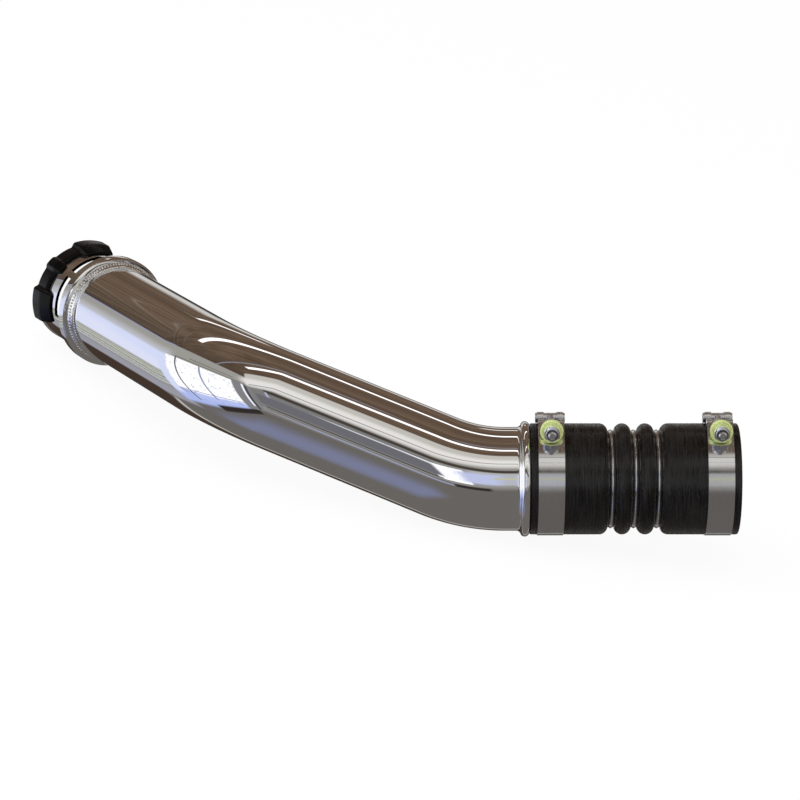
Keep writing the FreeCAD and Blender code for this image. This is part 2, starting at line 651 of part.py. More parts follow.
def resting_up():
    """Upward direction at rest on the bead, the outside of the first bend and the connector's lower edge."""
    hub = bend_one_start * Placement(Vector(size("bend_radius"), 0, 0), Rotation())
    bead = (Vector(size(BEAD_CREST), 0, 0), Vector(1, 0, 0), size("pipe_radius + bead_rise - bead_arc"),
            size("bead_arc"))
    bend = (hub.Base, hub.Rotation.multVec(Vector(0, 1, 0)), size("bend_radius"), size("pipe_radius"))
    along = connector_frame.Rotation.multVec(Vector(1, 0, 0))
    edges = [
        (connector_frame.Base + along * size(distance), along, size(radius), 0.0)
        for distance, radius in ((FLANGE_END + " - rim_chamfer", FLANGE_RADIUS),
                                 ("sleeve_end - rim_chamfer", SLEEVE_RADIUS))
    ]
    up = Vector(0, 1, 1).normalize()
    for _ in range(100):
        first, second, third = [
            min((lowest(*ring, up) for ring in rings), key=up.dot) for rings in ([bead], [bend], edges)
        ]
        level = (second - first).cross(third - first).normalize()
        up = level if level.dot(up) > 0 else -level
    return up


def lay_down():
    """Turn every piece to its rest, hose end towards +X, and set its footprint's middle at the origin."""
    up = resting_up()
    ahead = Vector(-1, 0, 0) + up * up.x
    ahead.normalize()
    turn = Placement(Vector(), Rotation(ahead, up.cross(ahead), up, "ZXY").inverted())
    for piece in pieces:
        piece.Placement = turn * piece.Placement
    doc.recompute()
    box = Part.makeCompound([piece.Shape for piece in pieces]).optimalBoundingBox(False, False)
    shift = Placement(Vector(-box.Center.x, -box.Center.y, -box.ZMin), Rotation())
    for piece in pieces:
        piece.Placement = shift * piece.Placement
    doc.recompute()


def check():
    """Stop if an object failed or a piece is not one valid solid."""
    for thing in doc.Objects:
        if {"Invalid", "Error"} & set(thing.State):
            raise RuntimeError("%s: %s" % (thing.Name, thing.State))
    for piece in pieces:
        shape = piece.Shape
        if shape.isNull() or not shape.isValid() or len(shape.Solids) != 1:
            raise RuntimeError("%s is not one valid solid" % piece.Label)


def main():
    """Build the pieces, lay them down, check them and write them."""
    make_pipe()
    make_weld()
    make_connector()
    make_seal()
    make_clip()
    make_rings()
    turn = Placement(Vector(), Rotation(Vector(1, 0, 0), -size("clamp_turn_angle")))
    frames = {
        "free_clamp": Placement(Vector(size("clamp_inset"), 0, 0), Rotation()) * turn,
        "pipe_clamp": Placement(Vector(size("hose_length - clamp_inset"), 0, 0), Rotation()) * turn,
    }
    seats = []
    for name, frame in frames.items():
        seats.append(make_bridge(name + "_bridge", frame))
        make_clamp(name, frame)
    make_hose(seats)
    doc.recompute()
    check()
    lay_down()
    check()
    os.makedirs("parts", exist_ok=True)
    for piece in pieces:
        piece.Shape.exportStep("parts/%s.step" % piece.Label)
        print("%-22s %10.1f mm3" % (piece.Label, piece.Shape.Volume))


main()
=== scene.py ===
import json
import logging
import math
from dataclasses import dataclass
from enum import Enum
from typing import Iterable, Optional, Sequence, Union

import bpy
import numpy as np
from mathutils import Matrix, Vector

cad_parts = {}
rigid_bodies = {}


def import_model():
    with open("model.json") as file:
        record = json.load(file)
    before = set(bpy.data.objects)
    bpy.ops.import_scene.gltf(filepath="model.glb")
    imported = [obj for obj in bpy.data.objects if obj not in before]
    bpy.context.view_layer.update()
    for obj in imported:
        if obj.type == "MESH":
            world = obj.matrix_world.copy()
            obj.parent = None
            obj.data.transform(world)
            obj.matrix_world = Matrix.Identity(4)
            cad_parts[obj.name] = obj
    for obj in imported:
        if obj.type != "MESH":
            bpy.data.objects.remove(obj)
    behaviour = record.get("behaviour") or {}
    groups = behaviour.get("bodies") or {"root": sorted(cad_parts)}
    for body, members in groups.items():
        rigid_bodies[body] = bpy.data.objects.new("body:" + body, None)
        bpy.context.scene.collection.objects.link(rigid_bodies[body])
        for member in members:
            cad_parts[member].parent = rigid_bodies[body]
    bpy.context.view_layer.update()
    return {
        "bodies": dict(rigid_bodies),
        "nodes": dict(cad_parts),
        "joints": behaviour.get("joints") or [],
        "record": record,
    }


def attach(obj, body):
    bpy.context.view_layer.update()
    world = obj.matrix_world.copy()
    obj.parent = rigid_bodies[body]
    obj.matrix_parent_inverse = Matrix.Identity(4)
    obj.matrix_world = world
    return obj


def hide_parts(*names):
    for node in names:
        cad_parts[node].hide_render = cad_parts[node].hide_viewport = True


# Bent charge-air pipe with a bellows hose, two T-bolt clamps and a snap-in connector.
# Pieces are made in millimetres in the working frame: the hose axis is X, from the free end of
# the hose at the origin to the pipe, and the first bend turns towards +Z. They are then laid
# down in the row's frame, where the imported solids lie, and each one stands for its solid.

LOG = logging.getLogger("charge_pipe")
METRES = 0.001
CREASE = 35.0          # degrees between two faces that keep their edge sharp
SHORT_EDGE = 0.45      # most of an edge that one rounding takes
Outline = list[tuple[float, float]]
Colour = tuple[float, float, float]
Socket = bpy.types.NodeSocket
Value = Union[Socket, float]
Spot = tuple[Socket, Socket, Optional[Socket]]     # place across a wall, rise, share of its side


# Geometry helpers

def arc(middle: tuple[float, float], radius: float, start: float, end: float, steps: int) -> Outline:
    """Points of an arc in a section.

    Args:
        middle: centre of the arc, as (along the axis, from the axis).
        radius: radius of the arc.
        start: first angle in degrees, from the axis direction.
        end: last angle in degrees.
        steps: number of chords.

    Returns:
        The points from start to end, both included.
    """
    angles = np.radians(np.linspace(start, end, steps + 1))
    return [(middle[0] + radius * math.cos(a), middle[1] + radius * math.sin(a)) for a in angles]


def rounded(outline: Outline, radius: float, steps: int = 3, sharp: float = 20.0) -> Outline:
    """Closed outline with its corners rounded.

    Args:
        outline: corners of the closed section.
        radius: radius of the rounding, less where an edge is short.
        steps: number of chords for each corner.
        sharp: smallest turn in degrees that counts as a corner.

    Returns:
        The outline with each corner replaced by its arc.
    """
    points = [np.array(point, float) for point in outline]
    result: Outline = []
    for index, here in enumerate(points):
        before, after = points[index - 1], points[(index + 1) % len(points)]
        back, on = before - here, after - here
        reach_back, reach_on = np.linalg.norm(back), np.linalg.norm(on)
        back, on = back / reach_back, on / reach_on
        turn = math.pi - math.acos(float(np.clip(back @ on, -1, 1)))
        if turn < math.radians(sharp):
            result.append((here[0], here[1]))
            continue
        cut = min(radius * math.tan(turn / 2), SHORT_EDGE * reach_back, SHORT_EDGE * reach_on)
        small = cut / math.tan(turn / 2)
        middle = here + (back + on) / np.linalg.norm(back + on) * math.hypot(cut, small)
        first, last = here + back * cut - middle, here + on * cut - middle
        for share in np.linspace(0, 1, steps + 1):
            spoke = first * math.sin((1 - share) * turn) + last * math.sin(share * turn)
            spoke = spoke / np.linalg.norm(spoke) * small
            result.append((middle[0] + spoke[0], middle[1] + spoke[1]))
    return result


def lathe(outline: Outline, angles: Iterable[float]) -> np.ndarray:
    """Rings of points, a section turned about X.

    Args:
        outline: the section.
        angles: angle of each ring in degrees, counted from Y to Z.

    Returns:
        Array of ring, point and coordinate.
    """
    x, r = np.array(outline).T
    return np.array([np.column_stack([x, r * math.cos(a), r * math.sin(a)]) for a in np.radians(list(angles))])


@dataclass
class Form:
    """A closed mesh in millimetres: its points and its faces."""

    points: np.ndarray
    faces: list[tuple[int, ...]]

    @classmethod
    def skin(cls, rings: np.ndarray, looped: bool) -> "Form":
        """Skin over rings of equally many points.

        Args:
            rings: array of ring, point and coordinate.
            looped: whether the last ring joins the first. Otherwise both ends are capped.

        Returns:
            The closed form, its faces outwards.
        """
        count, around = rings.shape[:2]
        faces: list[tuple[int, ...]] = []
        for ring in range(count if looped else count - 1):
            here, there = ring * around, (ring + 1) % count * around
            for step in range(around):
                after = (step + 1) % around
                faces.append((here + step, here + after, there + after, there + step))
        if not looped:
            faces.append(tuple(range(around - 1, -1, -1)))
            faces.append(tuple(range((count - 1) * around, count * around)))
        return cls(rings.reshape(-1, 3), faces).outwards()

    @classmethod
    def turned(cls, outline: Outline, segments: int) -> "Form":
        """Section turned all the way about X."""
        return cls.skin(lathe(outline, np.arange(segments) * 360 / segments), True)

    def volume(self) -> float:
        """Volume inside the faces.

        Returns:
            Signed volume, positive when the faces point outwards.
        """
        total = 0.0
        for face in self.faces:
            corners = self.points[list(face)]
            for index in range(1, len(face) - 1):
                total += float(corners[0] @ np.cross(corners[index], corners[index + 1]))
        return total / 6

    def outwards(self) -> "Form":
        """Turn the faces outwards.

        Returns:
            The same form.
        """
        if self.volume() < 0:
            self.faces = [face[::-1] for face in self.faces]
        return self

    def mesh(self, name: str, place: np.ndarray, crease: float = CREASE) -> bpy.types.Mesh:
        """Blender mesh of the form in metres.

        Args:
            name: name of the mesh.
            place: 4 x 4 matrix from the form's millimetres to the row's metres.
            crease: edges that turn by more than this many degrees stay sharp.

        Returns:
            The smooth shaded mesh.
        """
        moved = self.points @ place[:3, :3].T + place[:3, 3]
        mesh = bpy.data.meshes.new(name)
        mesh.from_pydata(moved.tolist(), [], self.faces)
        mesh.validate()
        mesh.shade_smooth()
        mesh.set_sharp_from_angle(angle=math.radians(crease))
        return mesh


def shifted(x: float = 0.0, y: float = 0.0, z: float = 0.0) -> np.ndarray:
    """Matrix of a move."""
    return np.array([[1.0, 0.0, 0.0, x], [0.0, 1.0, 0.0, y], [0.0, 0.0, 1.0, z], [0.0, 0.0, 0.0, 1.0]])


def rotated(axis: str, degrees: float) -> np.ndarray:
    """Matrix of a turn about X, Y or Z."""
    return np.array(Matrix.Rotation(math.radians(degrees), 4, axis))


# Route of the pipe

@dataclass(frozen=True)
class Route:
    """Centreline of the pipe: frames whose Z runs along it and whose X is the side it bends to."""

    hose_length: float = 152.4
    crest: float = 155.9        # the bead's crest, from the hose's free end
    bead_to_bend: float = 14.5
    bend_radius: float = 114.3
    bend_one: float = 25.0      # degrees
    middle_run: float = 127.6
    roll: float = 56.75         # degrees between the planes of the two bends
    bend_two: float = 42.5      # degrees
    last_run: float = 147.7     # from the second bend to the weld line
    step: float = 1.0           # degrees of a bend between two rings of points

    def heading(self, x: float) -> np.ndarray:
        """Frame on the hose's axis at a distance from its free end."""
        return np.array([[0.0, 0.0, 1.0, x], [0.0, -1.0, 0.0, 0.0], [1.0, 0.0, 0.0, 0.0], [0.0, 0.0, 0.0, 1.0]])

    def bent(self, frame: np.ndarray, degrees: float) -> np.ndarray:
        """Frame after a bend of that many degrees from a frame."""
        return frame @ shifted(x=self.bend_radius) @ rotated("Y", degrees) @ shifted(x=-self.bend_radius)

    @property
    def bend_one_start(self) -> np.ndarray:
        """Frame where the first bend starts."""
        return self.heading(self.crest + self.bead_to_bend)

    @property
    def bend_two_start(self) -> np.ndarray:
        """Frame where the second bend starts, rolled into its plane."""
        first = self.bent(self.bend_one_start, self.bend_one)
        return first @ shifted(z=self.middle_run) @ rotated("Z", self.roll)

    @property
    def connector(self) -> np.ndarray:
        """Frame of the connector: X along its axis from the weld line to its open end."""
        return self.bent(self.bend_two_start, self.bend_two) @ shifted(z=self.last_run) @ rotated("Y", -90)

    def stations(self, past_weld: float) -> list[tuple[np.ndarray, float]]:
        """Frames from the first bend to the end of the pipe, each with the roll it carries.

        Args:
            past_weld: how far the pipe reaches past the weld line.

        Returns:
            Pairs of a frame and the roll in degrees to take back, so that rings don't twist.
        """
        result: list[tuple[np.ndarray, float]] = []
        for start, degrees, rolled in ((self.bend_one_start, self.bend_one, 0.0),
                                       (self.bend_two_start, self.bend_two, self.roll)):
            steps = round(degrees / self.step)
            result += [(self.bent(start, degrees * share), rolled) for share in np.linspace(0, 1, steps + 1)]
        last = result[-1][0] @ shifted(z=self.last_run + past_weld)
        return result + [(last, self.roll)]


def rest_place(route: Route, record: dict) -> np.ndarray:
    """Matrix that lays the working frame down in the row's frame, from the record's two bores.

    Args:
        route: centreline of the pipe.
        record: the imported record.

    Returns:
        4 x 4 matrix from the working frame's millimetres to the row's metres.
    """
    mounts = {mount["name"]: mount for mount in record["mounts"]}
    hose, sleeve = mounts["hose_bore"], mounts["connector_bore"]
    hose_middle = Hose().chamfer + hose["dims"]["length_mm"] / 2
    sleeve_middle = Connector().seal_end + sleeve["dims"]["length_mm"] / 2

    def basis(along: np.ndarray, across: np.ndarray) -> np.ndarray:
        """Axes from two directions.

        Args:
            along: direction of the hose's axis.
            across: the way to the connector.

        Returns:
            Three unit axes in columns, the first along and the second towards across.
        """
        along = along / np.linalg.norm(along)
        side = across - along * (across @ along)
        side /= np.linalg.norm(side)
        return np.column_stack([along, side, np.cross(along, side)])

    start = np.array([hose_middle, 0.0, 0.0])
    end = (route.connector @ np.array([sleeve_middle, 0, 0, 1]))[:3]
    row_start, row_end = np.array(hose["pos_m"]), np.array(sleeve["pos_m"])
    turn = basis(-np.array(hose["axis"]), row_end - row_start) @ basis(np.array([1.0, 0, 0]), end - start).T
    place = np.eye(4)
    place[:3, :3] = turn * METRES
    place[:3, 3] = row_start - place[:3, :3] @ start
    return place


# Node trees

class Nodes:
    """Short way to write a node tree."""

    def __init__(self, tree: bpy.types.NodeTree) -> None:
        """Start on an emptied tree."""
        self.tree = tree
        tree.nodes.clear()

    def add(self, kind: str, inputs: Optional[dict] = None, **properties: object) -> bpy.types.Node:
        """Add a node.

        Args:
            kind: type of the node.
            inputs: values or sockets by input name or number.
            properties: attributes of the node.

        Returns:
            The new node.
        """
        node = self.tree.nodes.new(kind)
        for key, value in properties.items():
            setattr(node, key, value)
        for key, value in (inputs or {}).items():
            if isinstance(value, bpy.types.NodeSocket):
                self.tree.links.new(value, node.inputs[key])
            else:
                node.inputs[key].default_value = value
        return node

    def maths(self, operation: str, *values: Value) -> Socket:
        """Result of a Math node on values or sockets."""
        return self.add("ShaderNodeMath", dict(enumerate(values)), operation=operation).outputs[0]

    def mixed(self, first: Value, second: Value, shares: tuple[float, float]) -> Socket:
        """Sum of two values by their shares."""
        return self.maths("MULTIPLY_ADD", first, shares[0], self.maths("MULTIPLY", second, shares[1]))

    def smooth(self, value: Value, start: float, end: float, low: float = 0.0, high: float = 1.0) -> Socket:
        """Soft step of a value from low at start to high at end."""
        inputs = {0: value, 1: start, 2: end, 3: low, 4: high}
        return self.add("ShaderNodeMapRange", inputs, interpolation_type="SMOOTHSTEP").outputs[0]

    def blend(self, share: Value, first: Union[Socket, Colour], second: Union[Socket, Colour]) -> Socket:
        """Colour between first and second."""
        ends = {key: (*end, 1.0) if isinstance(end, tuple) else end for key, end in ((6, first), (7, second))}
        return self.add("ShaderNodeMix", {0: share, **ends}, data_type="RGBA").outputs[2]

    def dot(self, vector: Socket, axis: Sequence[float]) -> Socket:
        """Length of a vector along a fixed axis."""
        return self.add("ShaderNodeVectorMath", {0: vector, 1: tuple(axis)}, operation="DOT_PRODUCT").outputs["Value"]

    def noise(self, vector: Socket, scale: float, detail: float = 2.0, rough: float = 0.5) -> Socket:
        """Noise on a vector."""
        inputs = {"Vector": vector, "Scale": scale, "Detail": detail, "Roughness": rough}
        return self.add("ShaderNodeTexNoise", inputs).outputs[0]

    def lines(self, place: Socket, scale: float, detail: float, rough: float = 0.5) -> Socket:
        """Noise along one length, which gives lines across it."""
        inputs = {"W": place, "Scale": scale, "Detail": detail, "Roughness": rough}
        return self.add("ShaderNodeTexNoise", inputs, noise_dimensions="1D").outputs[0]

    def mix(self, share: Socket, first: bpy.types.Node, second: bpy.types.Node) -> bpy.types.Node:
        """Mix Shader node between the shaders of two nodes."""
        return self.add("ShaderNodeMixShader", {0: share, 1: first.outputs[0], 2: second.outputs[0]})


def linear(*shades: float) -> Colour:
    """Linear colour of display shades from 0 to 255, all above 10."""
    return tuple(((s / 255 + 0.055) / 1.055) ** 2.4 for s in shades)


# Finishes

FINE_NOISE = (3.0, 0.6)        # detail and roughness of the fine marks' noise
CLOUD_SCALE = 35.0             # broad clouds over a piece, a few centimetres wide
TONE_SHARES, TONE_SPAN = (0.7, 0.3), (0.3, 0.7)         # fine and broad noise in the tone
GLOSS_SHARES, GLOSS_SPAN = (0.75, 0.25), (0.36, 0.64)   # and in the gloss
GLOSSIEST = 0.02


class Grain(Enum):
    """Which way a finish's fine marks run, as noise stretches along X, Y and Z of the working frame."""

    EVEN = (1.0, 1.0, 1.0)
    AROUND_HOSE = (1.0, 0.06, 0.06)


@dataclass(frozen=True)
class Finish:
    """A finish: its colour, its gloss and its fine marks.

    Spread is how far the roughness moves from its middle, tone how far the colour does, mark_scale
    the scale of the marks' noise, and mark_depth their depth in millimetres.
    """

    name: str
    colour: Colour
    slot: str
    metallic: float = 1.0
    roughness: float = 0.2
    spread: float = 0.06
    mark_scale: float = 900.0
    mark_depth: float = 0.0
    tone: float = 0.08
    grain: Grain = Grain.EVEN
    specular: float = 0.5

    def material(self, place: np.ndarray) -> bpy.types.Material:
        """The finish as a procedural material.

        Args:
            place: matrix of the working frame, which the grain follows.

        Returns:
            The material.
        """
        known = bpy.data.materials.get(self.name)
        if known:
            return known
        material = bpy.data.materials.new(self.name)
        material.use_nodes = True
        nodes = Nodes(material.node_tree)
        back = Matrix(np.linalg.inv(place[:3, :3] / METRES).tolist()).to_euler()
        coords = nodes.add("ShaderNodeTexCoord").outputs["Object"]
        turned = nodes.add("ShaderNodeMapping", {"Vector": coords, "Rotation": back}).outputs[0]
        marks = nodes.add("ShaderNodeMapping", {"Vector": turned, "Scale": self.grain.value}).outputs[0]
        fine = nodes.noise(marks, self.mark_scale, *FINE_NOISE)
        broad = nodes.noise(turned, CLOUD_SCALE)
        low, high = (tuple(min(1.0, c * k) for c in self.colour) for k in (1 - self.tone, 1 + self.tone))
        shade = nodes.blend(nodes.smooth(nodes.mixed(fine, broad, TONE_SHARES), *TONE_SPAN), low, high)
        gloss = nodes.smooth(nodes.mixed(fine, broad, GLOSS_SHARES), *GLOSS_SPAN,
                             max(GLOSSIEST, self.roughness - self.spread), self.roughness + self.spread)
        inputs = {"Base Color": shade, "Metallic": self.metallic, "Roughness": gloss,
                  "Specular IOR Level": self.specular}
        if self.mark_depth:
            depth = self.mark_depth * METRES
            bump = nodes.add("ShaderNodeBump", {"Strength": 1.0, "Distance": depth, "Height": fine})
            inputs["Normal"] = bump.outputs[0]
        shader = nodes.add("ShaderNodeBsdfPrincipled", inputs)
        nodes.add("ShaderNodeOutputMaterial", {"Surface": shader.outputs[0]})
        return material


MIRROR = Finish("mirror_aluminium", (0.95, 0.95, 0.96), "pipe", roughness=0.02, spread=0.008, tone=0.01)
SLEEVE = Finish("turned_aluminium", (0.94, 0.94, 0.95), "connector", roughness=0.03, spread=0.01, tone=0.015)
WELDED = Finish("weld_bead", (0.97, 0.97, 0.98), "weld", roughness=0.025, spread=0.01, tone=0.03, mark_scale=360,
                mark_depth=0.4)
RUBBER = Finish("seal_rubber", (0.018, 0.018, 0.018), "seal", metallic=0.0, roughness=0.55, tone=0.2, mark_depth=0.02)
CLIP_PLASTIC = Finish("clip_plastic", (0.002, 0.002, 0.002), "clip", metallic=0.0, roughness=0.24, spread=0.06,
                      tone=0.25, mark_scale=2500, mark_depth=0.01, specular=0.13)
HOSE_RUBBER = Finish("wrapped_rubber", (0.0072, 0.0063, 0.0056), "hose", metallic=0.0, roughness=0.21, spread=0.14,
                     tone=0.85, mark_scale=800, mark_depth=1.3, grain=Grain.AROUND_HOSE, specular=0.36)
RING_STEEL = Finish("ring_steel", (0.86, 0.86, 0.87), "rings", roughness=0.16, spread=0.05)
STRAP_STEEL = Finish("strap_steel", (0.76, 0.76, 0.77), "strap", roughness=0.14, spread=0.04, tone=0.04,
                     mark_scale=2500, grain=Grain.AROUND_HOSE)
BRIDGE_STEEL = Finish("bridge_steel", (0.45, 0.45, 0.46), "bridge", roughness=0.35)
BOLT_STEEL = Finish("bolt_steel", (0.72, 0.72, 0.74), "bolt", roughness=0.3, spread=0.06)
BARREL_STEEL = Finish("barrel_steel", (0.74, 0.74, 0.75), "barrel", roughness=0.08, spread=0.03)
COLLAR_ZINC = Finish("yellow_zinc", (0.80, 0.93, 0.36), "collar", metallic=0.45, roughness=0.26, spread=0.08, tone=0.12)
NUT_ZINC = Finish("bright_zinc", (0.92, 0.93, 0.96), "nut", roughness=0.1, spread=0.03, tone=0.05)
NYLON = Finish("nylon_insert", (0.05, 0.055, 0.07), "insert", metallic=0.0, roughness=0.45, tone=0.15)


# Sub-assemblies

@dataclass
class Assembly:
    """Base of the sub-assemblies: where the working frame lies, and how a piece joins the part.

    Place is left out where only a sub-assembly's sizes are read.
    """

    place: Optional[np.ndarray] = None

    def add(self, name: str, mesh: bpy.types.Mesh, finish: Finish, *solids: str) -> None:
        """Make a piece of a mesh that is in place, and let it stand for its solids.

        Args:
            name: name of the piece.
            mesh: its mesh in the row's frame.
            finish: its finish.
            solids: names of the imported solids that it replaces.
        """
        piece = bpy.data.objects.new(name, mesh)
        bpy.context.scene.collection.objects.link(piece)
        mesh.materials.clear()
        mesh.materials.append(finish.material(self.place))
        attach(piece, "root")
        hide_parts(*solids)
        LOG.info("%s: %d faces, for %s", name, len(mesh.polygons), ", ".join(solids))


@dataclass
class ChargePipe(Assembly):
    """Bent pipe with a rolled bead behind the end that the hose slips over.

    Insert is how far the pipe goes into the hose. The bead's crest has the radius bead_arc and rises
    bead_rise over the pipe, and a fillet lies at each foot: bead_heel towards the hose's end and
    bead_root towards the bend.
    """

    radius: float = 38.1
    wall: float = 2.0
    insert: float = 40.0
    bead_arc: float = 3.5
    bead_rise: float = 4.3
    bead_root: float = 3.0
    bead_heel: float = 0.8
    past_weld: float = 10.0     # how far the pipe reaches past the weld line
    after_bead: float = 2.5     # straight length behind the bead's root
    heel_steps: int = 8
    crest_steps: int = 30
    root_steps: int = 14
    segments: int = 192
    crease: float = 50.0

    def spout(self, route: Route, depth: float) -> Outline:
        """Section of the straight end with its bead.

        Args:
            route: centreline of the pipe.
            depth: how far the line lies inside the pipe's outside.

        Returns:
            Points from the end in the hose to the first bend.
        """
        hub = self.radius + self.bead_rise - self.bead_arc
        rise = self.bead_rise - self.bead_arc

        def foot(fillet: float) -> float:
            """Distance from the crest to a root fillet's middle."""
            return math.sqrt((fillet + self.bead_arc) ** 2 - (rise - fillet) ** 2)

        heel, root = foot(self.bead_heel), foot(self.bead_root)
        lean = math.degrees(math.atan2(self.bead_root - rise, root))
        return [
            (route.hose_length - self.insert, self.radius - depth),
            (route.hose_length - self.insert / 2, self.radius - depth),
            *arc((route.crest - heel, self.radius + self.bead_heel), self.bead_heel + depth, -90, 0, self.heel_steps),
            *arc((route.crest, hub), self.bead_arc - depth, 180, lean, self.crest_steps)[1:],
            *arc((route.crest + root, self.radius + self.bead_root), self.bead_root + depth, 180 + lean, 270,
                 self.root_steps)[1:],
            (route.crest + root + self.after_bead, self.radius - depth),
        ]

    def make(self, route: Route) -> None:
        """Build the pipe as one closed skin over its outside and its inside.

        Args:
            route: centreline of the pipe.
        """
        angles = np.arange(self.segments) * 2 * math.pi / self.segments

        def ring(frame: np.ndarray, radius: float, rolled: float) -> np.ndarray:
            """Ring of points about a frame's Z.

            Args:
                frame: 4 x 4 matrix of the frame.
                radius: radius of the ring.
                rolled: roll in degrees that the frame carries.

            Returns:
                Array of point and coordinate.
            """
            turned = angles - math.radians(rolled)
            flat = np.column_stack([np.cos(turned), np.sin(turned)]) * radius
            return flat @ frame[:3, :2].T + frame[:3, 3]

        rings: list[np.ndarray] = []
        for depth in (0.0, self.wall):
            side = [ring(route.heading(x), radius, 0.0) for x, radius in self.spout(route, depth)]
            side += [ring(frame, self.radius - depth, rolled) for frame, rolled in route.stations(self.past_weld)]
            rings += side[::-1] if depth else side
        mesh = Form.skin(np.array(rings), True).mesh("polished_pipe", self.place, self.crease)
        self.add("polished_pipe", mesh, MIRROR, "charge_pipe")


@dataclass
class Connector(Assembly):
    """Turned sleeve with a flange, two latch windows and the clip's groove, and its seal.

    Starts and ends are places on the axis, from the weld line. Bore, sleeve, flange, seats and lip
    are radii. The clip's middle lies clip_turn degrees from Y towards Z, with a window on each side.
    """

    pipe_radius: float = 38.1
    bore: float = 37.0
    sleeve: float = 39.4
    sleeve_end: float = 62.5
    lead: float = 1.2
    flange_face: float = 2.0
    flange_end: float = 11.3
    flange: float = 44.2
    flange_chamfer: float = 1.4
    rim_chamfer: float = 0.6
    socket_end: float = 10.0
    window_start: float = 20.0
    window_end: float = 28.0
    window_angle: float = 50.0
    web_angle: float = 8.0
    clip_turn: float = 114.8
    clip_start: float = 43.2
    clip_end: float = 59.8
    clip_seat: float = 38.4
    seal_start: float = 32.0
    seal_end: float = 37.0
    seal_seat: float = 38.2
    seal_lip: float = 35.8
    edge: float = 0.25
    seal_edge: float = 0.5
    seal_edge_steps: int = 4
    seal_segments: int = 144

    def section(self) -> Outline:
        """Section of the sleeve with its edges broken.

        Returns:
            The closed outline, from the flange's face over the outside and back along the bore.
        """
        corners = [
            (self.flange_face, self.pipe_radius),
            (self.flange_face, self.flange - self.flange_chamfer),
            (self.flange_face + self.flange_chamfer, self.flange),
            (self.flange_end - self.rim_chamfer, self.flange),
            (self.flange_end, self.flange - self.rim_chamfer),
            (self.flange_end, self.sleeve),
            (self.window_start, self.sleeve),
            (self.window_end, self.sleeve),
            (self.clip_start, self.sleeve),
            (self.clip_start, self.clip_seat),
            (self.clip_end, self.clip_seat),
            (self.clip_end, self.sleeve),
            (self.sleeve_end - self.rim_chamfer, self.sleeve),
            (self.sleeve_end, self.sleeve - self.rim_chamfer),
            (self.sleeve_end, self.bore + self.lead),
            (self.sleeve_end - self.lead, self.bore),
            (self.seal_end, self.bore),
            (self.seal_end, self.seal_seat),
            (self.seal_start, self.seal_seat),
            (self.seal_start, self.bore),
            (self.window_end, self.bore),
            (self.window_start, self.bore),
            (self.socket_end, self.bore),
            (self.socket_end, self.pipe_radius),
        ]
        return rounded(corners, self.edge)

    def windowed(self) -> Form:
        """Turn the section and leave the two latch windows open, with a wall on each of their sides.

        Returns:
            The sleeve as one closed form.
        """
        outline = self.section()
        first = self.clip_turn - self.web_angle / 2 - self.window_angle
        rings = lathe(outline, first + np.arange(360))    # one ring for each degree
        count, around = rings.shape[:2]
        second = round(self.window_angle + self.web_angle)
        wide = round(self.window_angle)
        open_steps = {*range(wide), *range(second, second + wide)}
        edges = {}
        for name, radius in (("outer", self.sleeve), ("inner", self.bore)):
            for x in (self.window_start, self.window_end):
                edges[name, x] = min(range(around), key=lambda i: math.dist(outline[i], (x, radius)))
        faces: list[tuple[int, ...]] = []
        gaps = {edges["outer", self.window_start], edges["inner", self.window_end]}
        for step in range(count):
            here, there = step * around, (step + 1) % count * around
            for point in range(around):
                if not (step in open_steps and point in gaps):
                    after = (point + 1) % around
                    faces.append((here + point, here + after, there + after, there + point))
            if step in open_steps:
                for x in (self.window_start, self.window_end):
                    out, inn = edges["outer", x], edges["inner", x]
                    wall = (here + out, here + inn, there + inn, there + out)
                    faces.append(wall[::-1] if x == self.window_end else wall)
        corners = [edges["outer", self.window_start], edges["outer", self.window_end],
                   edges["inner", self.window_end], edges["inner", self.window_start]]
        for step, flip in ((0, False), (wide, True), (second, False), (second + wide, True)):
            wall = tuple(step * around + corner for corner in corners)
            faces.append(wall[::-1] if flip else wall)
        return Form(rings.reshape(-1, 3), faces).outwards()

    def make(self, route: Route) -> None:
        """Build the sleeve with its windows, and the seal.

        Args:
            route: centreline of the pipe.
        """
        place = self.place @ route.connector
        self.add("turned_sleeve", self.windowed().mesh("turned_sleeve", place), SLEEVE, "connector_body")
        quarter = (self.seal_end - self.seal_start) / 4
        seal = rounded([
            (self.seal_start, self.seal_seat), (self.seal_start, self.bore),
            (self.seal_start + quarter, self.seal_lip), (self.seal_end - quarter, self.seal_lip),
            (self.seal_end, self.bore), (self.seal_end, self.seal_seat),
        ], self.seal_edge, self.seal_edge_steps)
        self.add("lip_seal", Form.turned(seal, self.seal_segments).mesh("lip_seal", place), RUBBER, "seal_ring")


